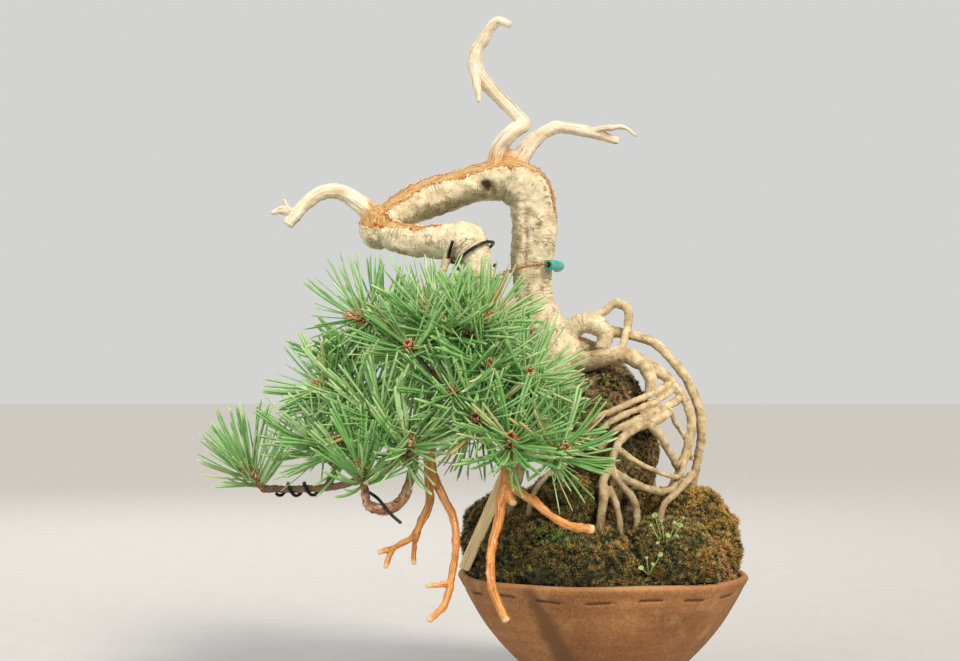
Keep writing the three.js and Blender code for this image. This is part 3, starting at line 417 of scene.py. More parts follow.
STRIPPED_LEFT = [
    [(-119, -82, 174, 3.8), (-116, -86, 157, 3.2), (-109, -92, 142, 2.8), (-102, -98, 128, 2.6),
     (-101, -104, 110, 2.4), (-104, -106, 92, 2.4), (-108, -108, 76, 2.4), (-118, -110, 65.5, 2.2)],
    [(-104, -106, 88.5, 2.1), (-112, -110, 88.5, 1.8), (-119.5, -111, 88, 1.7)],
    [(-119, -81, 172, 3.6), (-119, -79, 153, 2.9), (-118.5, -78, 138, 2.8), (-124, -79, 125, 2.6),
     (-130, -80, 116, 2.2), (-140, -82, 110, 1.9), (-152, -84, 106, 1.7)],
    [(-126, -79, 120, 2.2), (-128.5, -77, 109, 1.8), (-129, -75, 98, 1.7)],
    [(-141, -82, 110, 1.9), (-145, -82, 103, 1.8), (-147, -82, 96, 1.7)],
]
STRIPPED_RIGHT = [
    [(-66, -92, 177, 4), (-68, -94, 165, 3.7), (-69, -97, 153, 3.8), (-72, -101, 140, 3.5),
     (-73.6, -104, 127, 3.1), (-77.5, -106, 114, 3), (-78.8, -109, 98, 2.8), (-77, -112, 85, 2.8),
     (-68.6, -114, 66, 2.8)],
    [(-68, -97, 154, 3.3), (-60, -99, 147, 3), (-50, -104, 140, 2.9), (-40, -107, 132, 2.8),
     (-29, -109, 126, 2.8), (-13, -111, 124, 2.7)],
    [(-69, -98, 148, 3.1), (-66, -101, 142, 2.6), (-63.5, -103, 139, 2.3)],
]
print("bare stems:", len(DEADWOOD_LEFT + DEADWOOD_CROWN + STRIPPED_LEFT + STRIPPED_RIGHT))

# %% [markdown]
# Each spray of needles has the place where its shoot starts and the way it points.
# Its needles turn up to the light, the first two sprays' more than the others'.

# %% Sprays
USUAL_LIFT = 0.15
STRONG_LIFTS = [0.5, 0.35]
SPRAYS = [
    ((-231, -56, 147), (-0.35, -0.75, 0.55)), ((-160, -101, 150), (-0.05, -0.75, 0.65)),
    ((-176, -51, 205), (-0.7, -0.55, 0.4)), ((-149, -58, 256), (-0.8, -0.5, 0.2)),
    ((-126, -80, 232), (-0.2, -0.9, 0.35)), ((-98, -81, 240), (0.35, -0.75, 0.55)),
    ((-60, -77, 212), (0.25, -0.85, 0.4)), ((-66, -100, 172.5), (0, -0.9, 0.4)),
    ((-42, -88, 167), (0.4, -0.8, 0.3)), ((-171, -77, 165), (-0.5, -0.55, 0.6)),
    ((-134, -96, 168), (0.15, -0.8, 0.4)), ((-161, -66, 200), (-0.35, -0.75, 0.5)),
    ((-146, -90, 186), (-0.2, -0.85, 0.45)), ((-117, -71, 247), (-0.15, -0.6, 0.7)),
    ((-140, -48, 234), (-0.3, 0.1, 0.95)), ((-91, -75, 247), (0.45, -0.7, 0.45)),
    ((-101, -89, 203), (-0.1, -0.9, 0.35)), ((-85, -92, 190), (-0.1, -0.95, 0.2)),
    ((-58, -76, 178), (0.55, -0.65, 0.3)), ((-186, -62, 166), (-0.45, -0.6, 0.6)),
    ((-159, -42, 220), (-0.7, 0, 0.6)), ((-108, -82, 239), (-0.05, -0.7, 0.6)),
    ((-60, -62, 198), (0.3, -0.7, 0.55)), ((-84, -88, 220), (0.15, -0.9, 0.35)),
    ((-130, -22, 232), (-0.3, 0.6, 0.7)), ((-106, -4, 210), (0.5, 0.8, 0.1)),
    ((-154, -32, 182), (-0.6, 0.6, 0.3)), ((-88, -50, 190), (-0.3, 0.8, -0.1)),
    ((-128.5, 8, 212), (-0.3, 0.85, 0.4)), ((-98, -24, 236), (0, 0.8, 0.5)),
    ((-65, -42, 194), (0.3, 0.6, 0.1)),
]
LIFTS = STRONG_LIFTS + [USUAL_LIFT] * (len(SPRAYS) - len(STRONG_LIFTS))
print("sprays:", len(SPRAYS))

# %% [markdown]
# ## From routes to wood
#
# A smooth line is drawn through each route, with a tube of rings round it. The
# tubes overlap where a root leaves the trunk. A voxel remesh melts them into
# one closed skin, as real wood is. Then every point of that skin looks up the
# tube it came from and keeps its place in the straightened stem: how far along,
# and where across. Grain and wrinkles use that place, so they follow each bend.

# %% Lines
LINE_STEP = 1.5


def smooth_line(route, step=LINE_STEP):
    """Points on a smooth curve through a route, with the radius at each."""
    points = np.array(route, float)
    padded = np.vstack([2 * points[0] - points[1], points, 2 * points[-1] - points[-2]])
    stretches = []
    for i in range(len(points) - 1):
        p = padded[i:i + 4]
        gaps = np.sqrt(np.linalg.norm(np.diff(p[:, :3], axis=0), axis=1))
        t0, t1, t2, t3 = np.concatenate([[0], np.cumsum(gaps)])
        count = max(2, math.ceil(gaps[1] ** 2 / step))
        t = np.linspace(t1, t2, count, endpoint=False)[:, None]
        a1 = ((t1 - t) * p[0] + (t - t0) * p[1]) / (t1 - t0)
        a2 = ((t2 - t) * p[1] + (t - t1) * p[2]) / (t2 - t1)
        a3 = ((t3 - t) * p[2] + (t - t2) * p[3]) / (t3 - t2)
        b1 = ((t2 - t) * a1 + (t - t0) * a2) / (t2 - t0)
        b2 = ((t3 - t) * a2 + (t - t1) * a3) / (t3 - t1)
        stretches.append(((t2 - t) * b1 + (t - t1) * b2) / (t2 - t1))
    return np.vstack([*stretches, points[-1:]])


def unit(vectors):
    return vectors / np.linalg.norm(vectors, axis=-1, keepdims=True)


def frames_along(line):
    """For each point of a line: the way along it and two ways across, without twist."""
    along = unit(np.gradient(line[:, :3], axis=0))
    first = np.cross(along[0], (0, 0, 1))
    if np.linalg.norm(first) < 0.1:
        first = np.cross(along[0], (0, 1, 0))
    across = [unit(first)]
    for way in along[1:]:
        across.append(unit(across[-1] - way * (across[-1] @ way)))
    across = np.array(across)
    return along, across, np.cross(along, across)


# %% Tubes
def bands(rings, sides, closed=False):
    """Four-cornered faces between rings of points. Closed joins the last ring to the first."""
    faces = []
    for i in range(rings if closed else rings - 1):
        low, high = i * sides, (i + 1) % rings * sides
        faces += [(low + j, low + (j + 1) % sides, high + (j + 1) % sides, high + j) for j in range(sides)]
    return faces


def tube(line, sides=14, lobes=None):
    """Rings of points round a line, and the faces between them, closed by a point at each end."""
    along, across, third = frames_along(line)
    angle = np.linspace(0, 2 * math.pi, sides, endpoint=False)
    radius = np.repeat(line[:, 3:4], sides, axis=1)
    if lobes:
        radius = radius * lobes(np.linspace(0, 1, len(line))[:, None], angle[None, :])
    ring = (line[:, None, :3]
            + radius[..., None] * (np.cos(angle)[None, :, None] * across[:, None]
                                   + np.sin(angle)[None, :, None] * third[:, None]))
    ends = [line[0, :3] - along[0] * line[0, 3] * 0.35, line[-1, :3] + along[-1] * line[-1, 3] * 0.35]
    points = np.vstack([ring.reshape(-1, 3), ends])
    faces = bands(len(line), sides)
    last = (len(line) - 1) * sides
    for j in range(sides):
        k = (j + 1) % sides
        faces.append((k, j, last + sides))
        faces.append((last + j, last + k, last + sides + 1))
    return points, faces


# %% Skin
NEXT_STEM = 500


def merged(parts):
    """One list of points and one of faces from several such pairs."""
    points, faces = [], []
    for more, sheets in parts:
        faces += [tuple(corner + len(points) for corner in sheet) for sheet in sheets]
        points += [tuple(point) for point in more]
    return points, faces


def length_along(line):
    """How far along its line each point lies."""
    return np.concatenate([[0], np.cumsum(np.linalg.norm(np.diff(line[:, :3], axis=0), axis=1))])


def wood_skin(name, routes, voxel, lobes=None, sides=14, smoothing=3):
    """Melts the tubes of several routes into one closed mesh that knows its straightened place."""
    lines = [smooth_line(route) for route in routes]
    points, faces = merged(tube(line, sides, None if i else lobes) for i, line in enumerate(lines))
    points = np.array(points)
    places = []
    for number, line in enumerate(lines):
        places += [(number, i // sides) for i in range(len(line) * sides)]
        places += [(number, 0), (number, len(line) - 1)]
    base = new_object(name + "_tubes", mesh_of(name + "_tubes", points, faces))
    melt = base.modifiers.new("melt", "REMESH")
    melt.mode = "VOXEL"
    melt.voxel_size = voxel * MM
    ease = base.modifiers.new("ease", "SMOOTH")
    ease.factor = 0.5
    ease.iterations = smoothing
    mesh = plain_mesh(base)
    keep_on_points(mesh, "straight", straightened(points_of(mesh), points, places, lines))
    return mesh


def straightened(skin, points, places, lines):
    """Each skin point's place in its stem: across, across the other way, and along it.

    The stems lie far apart in that place, so that no two show the same grain.
    """
    near = kdtree.KDTree(len(points))
    for i, point in enumerate(points):
        near.insert(point, i)
    near.balance()
    nearest = [near.find(point)[1] for point in skin]
    owner = np.array(places)[nearest]
    result = np.zeros((len(skin), 3))
    for number, line in enumerate(lines):
        mine = owner[:, 0] == number
        along, across, third = frames_along(line)
        far = length_along(line)
        ring = owner[mine, 1]
        away = skin[mine] - line[ring, :3]
        result[mine, 0] = np.sum(away * across[ring], axis=1)
        result[mine, 1] = np.sum(away * third[ring], axis=1)
        result[mine, 2] = far[ring] + np.sum(away * along[ring], axis=1) + NEXT_STEM * number
    return result


# %% Noise and distance
def smooth_step(low, high, values):
    place = np.clip((values - low) / (high - low), 0, 1)
    return place * place * (3 - 2 * place)


def speckle(points, size, seed=0):
    """Soft noise between about -1 and 1 at each point, with waves of the given size in mm."""
    shift = Vector((seed * 13.7, seed * 7.1, seed * 3.3))
    return np.array([noise.noise(Vector(point / size) + shift) for point in points])


def distance_to(points, route):
    """Distance from each point to a route, less the route's own width there."""
    line = smooth_line(route, 3)
    best = np.full(len(points), 1e9)
    for x, y, z, width in line:
        best = np.minimum(best, np.linalg.norm(points - (x, y, z), axis=1) - width)
    return best


# %% [markdown]
# ## Relief
#
# A tube is too even for old wood. Sculpting every wrinkle by hand would take
# days, so one rule moves a skin along its normals. It adds three noises, read in
# the straightened place: broad lumps, folds that lie across the stem, and grain
# that runs along it. Where the bark is gone, the wood lies lower.

# %% Relief rule
relief, given, result = node_rule("relief", [
    ("Lump Height", "Float", 0.0), ("Lump Size", "Float", 10.0),
    ("Fold Height", "Float", 0.0), ("Fold Spacing", "Float", 3.0), ("Fold Width", "Float", 12.0),
    ("Grain Height", "Float", 0.0), ("Grain Width", "Float", 1.6), ("Grain Length", "Float", 30.0),
    ("Bark Thickness", "Float", 0.0)])
straight = add(relief, "GeometryNodeInputNamedAttribute", {"Name": "straight"}, data_type="FLOAT_VECTOR")
bare = add(relief, "GeometryNodeInputNamedAttribute", {"Name": "bare"}, data_type="FLOAT")
covered = add(relief, "ShaderNodeMath", {0: 1.0, 1: bare}, operation="SUBTRACT")
sunk = add(relief, "ShaderNodeMath", {0: bare, 1: given["Bark Thickness"]}, operation="MULTIPLY")
height = add(relief, "ShaderNodeMath", {0: sunk, 1: -1.0}, operation="MULTIPLY")
for across, along, rise, where in (
        (given["Lump Size"], given["Lump Size"], given["Lump Height"], 1.0),
        (given["Fold Width"], given["Fold Spacing"], given["Fold Height"], covered),
        (given["Grain Width"], given["Grain Length"], given["Grain Height"], 1.0)):
    size = add(relief, "ShaderNodeCombineXYZ", {"X": across, "Y": across, "Z": along})
    place = add(relief, "ShaderNodeVectorMath", {0: straight, 1: size}, operation="DIVIDE")
    wave = add(relief, "ShaderNodeTexNoise", {"Vector": place, "Scale": 1.0, "Detail": 2.0})
    wave = add(relief, "ShaderNodeMapRange", {"Value": wave, "From Min": 0.25, "From Max": 0.75,
                                              "To Min": -1.0, "To Max": 1.0})
    wave = add(relief, "ShaderNodeMath", {0: wave, 1: rise}, operation="MULTIPLY")
    height = add(relief, "ShaderNodeMath", {0: wave, 1: where, 2: height}, operation="MULTIPLY_ADD")
height = add(relief, "ShaderNodeMath", {0: height, 1: MM}, operation="MULTIPLY")
normal = add(relief, "GeometryNodeInputNormal")
moved = add(relief, "ShaderNodeVectorMath", {0: normal, "Scale": height}, operation="SCALE")
shaped = add(relief, "GeometryNodeSetPosition", {"Geometry": given["Geometry"], "Offset": moved})
relief.links.new(shaped, result["Geometry"])
print("relief inputs:", len(given) - 1)


def with_relief(name, mesh, **values):
    """The same skin with relief raised on it."""
    base = new_object(name + "_skin", mesh)
    set_modifier(base, relief, values)
    return plain_mesh(base)


# %% [markdown]
# ## Bark
#
# Old pine bark on a thin trunk is dry, pale beige and dull. It has dark hairline cracks across the stem, 2 to
# 3 mm apart, and damp spots with green algae. The bark is one material, and masks on the points say where it
# is peeled, green or dirty; the green and the dirty masks also carry painted shade, on the arch, in creases
# and grooves, in the knot hole and inside the root mass. Under the bark the fresh wood is cream, with orange
# fibres along it and torn red-brown bark at its edges: that gives the eye a wet, open wound.

# %% Bark material
BLEND = {"data_type": "RGBA"}
SHADE = {"data_type": "RGBA", "blend_type": "MULTIPLY"}


def wood_place(tree, across, along):
    """The straightened place, scaled so that a pattern has these sizes in millimetres."""
    place = add(tree, "ShaderNodeAttribute", output="Vector", attribute_name="straight")
    return add(tree, "ShaderNodeMapping", {"Vector": place, "Scale": (1 / across, 1 / across, 1 / along)})


def bark_material(name, colours, pitted, crack_across, crack_spacing, crack_share):
    """Bark with cracks across the stem, soiling, green growth, peeled places, and painted shade on the arch,
    in creases, grooves and the knot hole, and inside the root mass.
    """
    material, tree, shader = material_called(name, 0.9)
    mottle = add(tree, "ShaderNodeTexNoise", {"Vector": wood_place(tree, 7, 6), "Scale": 1.0, "Detail": 4.0})
    flake = add(tree, "ShaderNodeTexNoise", {"Vector": wood_place(tree, 1.6, 1.2), "Scale": 1.0,
                                             "Detail": 5.0, "Roughness": 0.7})
    ground = add(tree, "ShaderNodeValToRGB", {"Fac": mottle}, stops=list(zip((0.32, 0.5, 0.68), colours)))
    pits = add(tree, "ShaderNodeValToRGB", {"Fac": flake}, stops=[(0.36, "#B0A08A"), (0.56, "#FFFFFF")])
    ground = add(tree, "ShaderNodeMix", {"Factor": pitted, "A": ground, "B": pits}, **SHADE)

    # The cracks are the edges of flat cells, bent by a noise and open only in places.
    sway = add(tree, "ShaderNodeTexNoise", {"Vector": wood_place(tree, 4, 4), "Scale": 1.0, "Detail": 2.0},
               output="Color")
    cells = add(tree, "ShaderNodeVectorMath", {0: wood_place(tree, crack_across, crack_spacing), 1: sway},
                operation="ADD")
    crack = add(tree, "ShaderNodeTexVoronoi", {"Vector": cells, "Scale": 1.0}, feature="DISTANCE_TO_EDGE")
    crack = add(tree, "ShaderNodeMapRange", {"Value": crack, "From Min": 0.02, "From Max": 0.13,
                                             "To Min": 1.0, "To Max": 0.0})
    gaping = add(tree, "ShaderNodeTexNoise", {"Vector": wood_place(tree, 7, 9), "Scale": 1.0, "Detail": 3.0})
    gaping = add(tree, "ShaderNodeMapRange", {"Value": gaping, "From Min": 0.47, "From Max": 0.62,
                                              "To Max": crack_share})
    crack = add(tree, "ShaderNodeMath", {0: crack, 1: gaping}, operation="MULTIPLY")
    ground = add(tree, "ShaderNodeMix", {"Factor": crack, "A": ground, "B": "#5C4934"}, **BLEND)

    # Algae, which on the arch also stands in for painted shade.
    algae_and_shade = add(tree, "ShaderNodeValToRGB", {"Fac": flake}, stops=[(0.35, "#5A5432"), (0.65, "#A69A6C")])
    green = add(tree, "ShaderNodeAttribute", output="Fac", attribute_name="green")
    ground = add(tree, "ShaderNodeMix", {"Factor": green, "A": ground, "B": algae_and_shade}, **BLEND)
    # Dirt, which also stands in for painted shade: on the arch, in creases and grooves, in the knot hole and
    # inside the root mass.
    grime_and_shade = add(tree, "ShaderNodeValToRGB", {"Fac": flake}, stops=[(0.35, "#4A3524"), (0.7, "#8E6E4C")])
    dirt_and_shade = add(tree, "ShaderNodeAttribute", output="Fac", attribute_name="dirt_and_shade")
    ground = add(tree, "ShaderNodeMix", {"Factor": dirt_and_shade, "A": ground, "B": grime_and_shade}, **BLEND)
    # Painted shade: the darkest points, in the knot hole, turn nearly black.
    hole = add(tree, "ShaderNodeMapRange", {"Value": dirt_and_shade, "From Min": 0.88, "From Max": 1.0, "To Max": 0.85})
    ground = add(tree, "ShaderNodeMix", {"Factor": hole, "A": ground, "B": "#2A1C12"}, **BLEND)

    fibre = add(tree, "ShaderNodeTexNoise", {"Vector": wood_place(tree, 1.3, 20), "Scale": 1.0, "Detail": 4.0,
                                             "Roughness": 0.65})
    fresh = add(tree, "ShaderNodeValToRGB", {"Fac": fibre}, stops=[
        (0.34, "#8E4A1A"), (0.42, "#A8743A"), (0.5, "#B8935A"), (0.62, "#C8AC76")])
    torn = add(tree, "ShaderNodeValToRGB", {"Fac": flake}, stops=[
        (0.34, "#6A3212"), (0.5, "#A85A22"), (0.68, "#CC8440")])
    bare = add(tree, "ShaderNodeAttribute", output="Fac", attribute_name="bare")
    rag = add(tree, "ShaderNodeMath", {0: flake, 1: -0.5}, operation="ADD")
    rag = add(tree, "ShaderNodeMath", {0: rag, 1: 0.9, 2: bare}, operation="MULTIPLY_ADD")
    clean = add(tree, "ShaderNodeMapRange", {"Value": rag, "From Min": 0.5, "From Max": 0.85})
    opened = add(tree, "ShaderNodeMapRange", {"Value": rag, "From Min": 0.18, "From Max": 0.3})
    wound = add(tree, "ShaderNodeMix", {"Factor": clean, "A": torn, "B": fresh}, **BLEND)
    surface = add(tree, "ShaderNodeMix", {"Factor": opened, "A": ground, "B": wound}, **BLEND)
    rough = add(tree, "ShaderNodeMath", {0: crack, 1: -1.2, 2: flake}, operation="MULTIPLY_ADD")
    rough = add(tree, "ShaderNodeMath", {0: fibre, 1: bare, 2: rough}, operation="MULTIPLY_ADD")
    cover(tree, shader, surface, rough, 0.6, 0.6)
    return material


trunk_bark = bark_material("old pine bark", ("#C6B48F", "#DCCCA8", "#ECDFC2"), 0.35, 9, 2.5, 0.7)
root_bark = bark_material("smooth root bark", ("#B0966A", "#D0BA90", "#E2D0AA"), 0.25, 5, 7.0, 0.5)
print("bark cracks every 2.5 mm on the trunk, every 7 mm on the roots")

# %% [markdown]
# The trunk carries its marks: where the peeled strip runs, where algae grows, where dirt gathers, where
# painted shade darkens the arch and lies along creases and grooves, and which hollows are cut in. Each mark
# is a route with its half width, and an uneven edge comes from noise.

# %% Marks on the trunk
PEELED = [
    [(-162, -24, 335, 11), (-150, -20, 343, 8.5), (-127, -15, 352, 7.5), (-108, -12, 359, 7),
     (-91, -9, 366, 8), (-76, -7, 371, 11), (-64, -5, 374, 12)],
    [(-64, -8, 370, 9), (-50, -5, 368, 8), (-41, -3, 361, 6), (-35, -3, 351, 5), (-33, -2, 342, 4.5),
     (-32, -1, 335, 2)],
    [(-160, -28, 328, 6), (-148, -31, 327, 4.5), (-130, -38, 323.5, 2.5), (-112, -42, 323, 0.6)],
]
# Algae, and painted shade on the arch where it faces down and lies in shade.
ALGAE_AND_SHADE = [
    [(-61, -4, 334, 4), (-60, -4, 318, 4.5), (-61, -1, 302, 4.5), (-59, 0, 282, 3)],
    [(-66, -10, 342, 7), (-76, -13, 345, 8), (-90, -14, 343, 8), (-108, -14, 338, 7), (-124, -18, 333, 6)],
    [(-162, -30, 311, 6), (-148, -36, 305, 6), (-130, -42, 302, 3)],
]
# Dirt, and painted shade on the arch front and along grooves and creases.
GRIME_AND_SHADE = [
    [(-79, -16, 352, 3.5), (-74, -13, 347, 3), (-67, -11, 341, 3)],
    [(-80, -8, 341, 3), (-96, -10, 338, 3), (-112, -11, 332, 2)],
    [(-53.5, -9, 334, 0.6), (-53, -8.5, 316, 0.9), (-54, -7, 300, 0.7)],
    [(-156, -27, 321, 0.8), (-138, -37, 318, 0.8), (-122, -42, 319, 0.8)],
]
DENTS = [([(-80.5, -17.5, 353, 1.5), (-79.5, -16.5, 350, 1.5)], 3.0, 2.5),
         ([(-53.5, -9, 336, 0.2), (-53, -8.5, 316, 0.2), (-54, -7, 298, 0.2)], 1.2, 2.0),
         ([(-72, -14, 350, 1), (-66, -12, 344, 1), (-63, -9, 336, 1)], 1.3, 2.5)]
FINE = 0.8
print("marks:", len(PEELED), "peeled,", len(ALGAE_AND_SHADE), "green,", len(GRIME_AND_SHADE), "dirty,", len(DENTS), "hollow")


def nearest_route(points, routes):
    """Distance from each point to the nearest of several routes, less their width."""
    far_off = np.full(len(points), 1e3)
    return np.min([distance_to(points, route) for route in routes] or [far_off], axis=0)


def marked(mesh, peeled=(), algae_and_shade=(), grime_and_shade=(), under=0.0):
    """Keeps the masks of bare wood, of green growth and of soiling on a skin; the last two also carry painted
    shade, and under darkens the last one further.
    """
    points = points_of(mesh)
    uneven = speckle(points, 5, 1) * 2.2 + speckle(points, 1.8, 2) * 1.4
    bare = 1 - smooth_step(-1.4, 1.4, nearest_route(points, peeled) + uneven)
    green = 0.7 * (1 - smooth_step(-3, 3, nearest_route(points, algae_and_shade) + uneven))
    dirt_and_shade = 0.85 * (1 - smooth_step(-1, 1.6, nearest_route(points, grime_and_shade) + 0.4 * uneven))
    for label, values in (("bare", bare), ("green", green), ("dirt_and_shade", np.maximum(dirt_and_shade, under))):
        keep_on_points(mesh, label, values)
    return mesh


# %% Trunk
def trunk_lobes(u, angle):
    """Low ribs that turn slowly as they climb, and slow swellings."""
    return 1 + 0.05 * np.sin(3 * angle + 4 * u) + 0.02 * np.sin(5 * angle - 7 * u) + 0.02 * np.sin(31 * u)


trunk_skin = wood_skin("trunk", [TRUNK, FOLD, HEEL, KNOB], FINE, trunk_lobes, sides=36)
trunk_points = points_of(trunk_skin)
# Painted shade in the knot hole: its points get the darkest value of the mask.
knot_hole_shade = smooth_step(4.6, 2.2, distance_to(trunk_points, DENTS[0][0]) + 0.9 * speckle(trunk_points, 2, 6))
marked(trunk_skin, PEELED, ALGAE_AND_SHADE, GRIME_AND_SHADE, under=knot_hole_shade)
wound_edge = nearest_route(trunk_points, PEELED) + speckle(trunk_points, 5, 1) * 2.2
rise = 0.9 * np.exp(-((wound_edge / 1.1) ** 2)) * np.abs(speckle(trunk_points, 1.3, 4))
for route, depth, width in DENTS:
    rise -= depth * np.exp(-((np.maximum(distance_to(trunk_points, route), 0) / width) ** 2))
move_points(trunk_skin, rise)
trunk_mesh = with_relief("trunk", trunk_skin, Lump_Height=1.0, Lump_Size=9.0, Fold_Height=0.35,
                         Fold_Spacing=3.4, Fold_Width=14.0, Grain_Height=0.12, Bark_Thickness=1.1)
finish_piece("trunk_wood", trunk_mesh, "bark", ["trunk"], trunk_bark)

# %% [markdown]
# The roots have younger bark, smoother and golden-beige. Deep inside the root mass they are painted dark
# brown as painted shade, and they are darker towards the bottom.

# %% Roots
ROOT_MASS_AT = (0, 6, 160)
ROOT_MASS_REACH = (46, 48, 70)
ROOT_PIECES = {"roots_arched": ROOTS_ARCHED, "roots_bundled": ROOTS_BUNDLED, "roots_behind": ROOTS_BEHIND}
for name, routes in ROOT_PIECES.items():
    skin = wood_skin(name, routes, FINE)
    points = points_of(skin)
    # Painted shade inside the root mass, and a darkening towards the bottom; both darken the bark through the
    # under values.
    inside = np.linalg.norm((points - ROOT_MASS_AT) / ROOT_MASS_REACH, axis=1)
    shade = (1 - smooth_step(0.85, 1.3, inside + 0.12 * speckle(points, 9, 3))) * 0.85
    low = (1 - smooth_step(105, 185, points[:, 2])) * 0.75
    marked(skin, under=np.maximum(shade, low))
    mesh = with_relief(name, skin, Lump_Height=0.45, Lump_Size=5.0, Fold_Height=0.15, Fold_Spacing=2.2,
                       Fold_Width=7.0, Grain_Height=0.2, Grain_Width=1.4, Grain_Length=16.0)
    finish_piece(name, mesh, "bark", ["trunk"], root_bark)

# %% [markdown]
# The live branches end in twigs, one to each spray. A twig starts at the nearest
# point of a branch and bends into the line of its shoot. Young bark is darker
# and scaly, and on the lowest branch it flakes off in pinkish scales.

# %% Branches
FLAKY_AT = (-150, -97, 138)
LONG_BRANCH_X = -150
LONG_BRANCH_Z = 168


def twig_to(spray):
    """The stem from the nearest branch to a spray's shoot."""
    base, aim = spray
    start = np.array(base, float)
    forward = unit(np.array(aim, float))
    candidates = np.vstack([smooth_line(route, 3)[:, :3] for route in LIMBS])
    nearest = candidates[np.argmin(np.linalg.norm(candidates - start, axis=1))]
    reach = min(np.linalg.norm(nearest - start) / 2, 9)
    return [(*nearest, 2.6), (*(start - forward * reach), 2.5), (*start, 2.3)]


branch_skin = wood_skin("branches", LIMBS + [twig_to(spray) for spray in SPRAYS], FINE)
branch_points = points_of(branch_skin)
to_spray = np.min([np.linalg.norm(branch_points - base, axis=1) for base, aim in SPRAYS], axis=0)
long_branch = (branch_points[:, 0] < LONG_BRANCH_X) & (branch_points[:, 2] < LONG_BRANCH_Z)
marked(branch_skin, under=np.maximum(0.85 * long_branch, (1 - smooth_step(4, 34, to_spray)) * 0.7))
flaky = 1 - smooth_step(14, 26, np.linalg.norm(branch_points - FLAKY_AT, axis=1))
keep_on_points(branch_skin, "flaky", flaky)
move_points(branch_skin, flaky * 0.9 * np.abs(speckle(branch_points, 2.2, 7)))
branch_bark = bark_material("young pine bark", ("#A38866", "#C2AA88", "#D6C3A0"), 0.4, 4, 3.0, 0.8)
tree = branch_bark.node_tree
shader = tree.nodes["Principled BSDF"]
scale = add(tree, "ShaderNodeTexVoronoi", {"Vector": wood_place(tree, 2.4, 3.0), "Scale": 1.0},
            output="Color")
pink = add(tree, "ShaderNodeValToRGB", {"Fac": scale}, stops=[
    (0.2, "#6A4630"), (0.5, "#A27656"), (0.8, "#C8A080")])
flaky_here = add(tree, "ShaderNodeAttribute", output="Fac", attribute_name="flaky")
plain = shader.inputs["Base Color"].links[0].from_socket
skin = add(tree, "ShaderNodeMix", {"Factor": flaky_here, "A": plain, "B": pink}, **BLEND)
tree.links.new(skin, shader.inputs["Base Color"])
branch_mesh = with_relief("branches", branch_skin, Lump_Height=0.35, Lump_Size=4.0, Fold_Height=0.5,
                          Fold_Spacing=2.6, Fold_Width=5.0, Grain_Height=0.1)
finish_piece("branches", branch_mesh, "bark", ["trunk"], branch_bark)

# %% [markdown]
# ## Bare wood
#
# Dead wood bleaches to ivory in sun and lime wash: it looks dry, chalky and
# smooth, with a few brown cracks along it. Its foot, cut free not long ago, is
# still amber. The branches that were peeled a short while ago are orange and
# knobbly, and a little glossy with resin.

# %% Bleached deadwood
FEET = {"deadwood_left": (-151, -14, 332), "deadwood_crown": (-70, -3, 365)}
deadwood, tree, shader = material_called("bleached deadwood", 0.7)
fibre = add(tree, "ShaderNodeTexNoise", {"Vector": wood_place(tree, 1.2, 30), "Scale": 1.0, "Detail": 4.0})
patch = add(tree, "ShaderNodeTexNoise", {"Vector": wood_place(tree, 8, 16), "Scale": 1.0, "Detail": 3.0})
pale = add(tree, "ShaderNodeValToRGB", {"Fac": fibre}, stops=[
    (0.3, "#B9A688"), (0.42, "#D6C8AC"), (0.6, "#E6DCC6"), (0.8, "#EFE8D8")])
cloud = add(tree, "ShaderNodeValToRGB", {"Fac": patch}, stops=[(0.35, "#DDCBA8"), (0.6, "#FFFFFF")])
pale = add(tree, "ShaderNodeMix", {"Factor": 0.6, "A": pale, "B": cloud}, **SHADE)
split = add(tree, "ShaderNodeTexNoise", {"Vector": wood_place(tree, 2.2, 36), "Scale": 1.0, "Detail": 2.0})
split = add(tree, "ShaderNodeMapRange", {"Value": split, "From Min": 0.3, "From Max": 0.335,
                                         "To Min": 0.85, "To Max": 0.0})
pale = add(tree, "ShaderNodeMix", {"Factor": split, "A": pale, "B": "#7A6248"}, **BLEND)
foot = add(tree, "ShaderNodeAttribute", output="Fac", attribute_name="foot")
amber = add(tree, "ShaderNodeValToRGB", {"Fac": fibre}, stops=[
    (0.35, "#A45A1E"), (0.5, "#D0904C"), (0.7, "#E4BE8A")])
pale = add(tree, "ShaderNodeMix", {"Factor": foot, "A": pale, "B": amber}, **BLEND)
groove = add(tree, "ShaderNodeMath", {0: split, 1: -1.0, 2: fibre}, operation="MULTIPLY_ADD")
cover(tree, shader, pale, groove, 0.35, 0.6)
for name, routes in (("deadwood_left", DEADWOOD_LEFT), ("deadwood_crown", DEADWOOD_CROWN)):
    skin = wood_skin(name, routes, FINE * 0.85, smoothing=2)
    points = points_of(skin)
    from_foot = np.linalg.norm(points - FEET[name], axis=1) + 3 * speckle(points, 4, 8)
    keep_on_points(skin, "foot", 0.85 * smooth_step(19, 11, from_foot))
    mesh = with_relief(name, skin, Lump_Height=0.6, Lump_Size=7.0, Grain_Height=0.22, Grain_Width=2.6,
                       Grain_Length=40.0)
    finish_piece(name + "_wood", mesh, "deadwood", [name], deadwood)

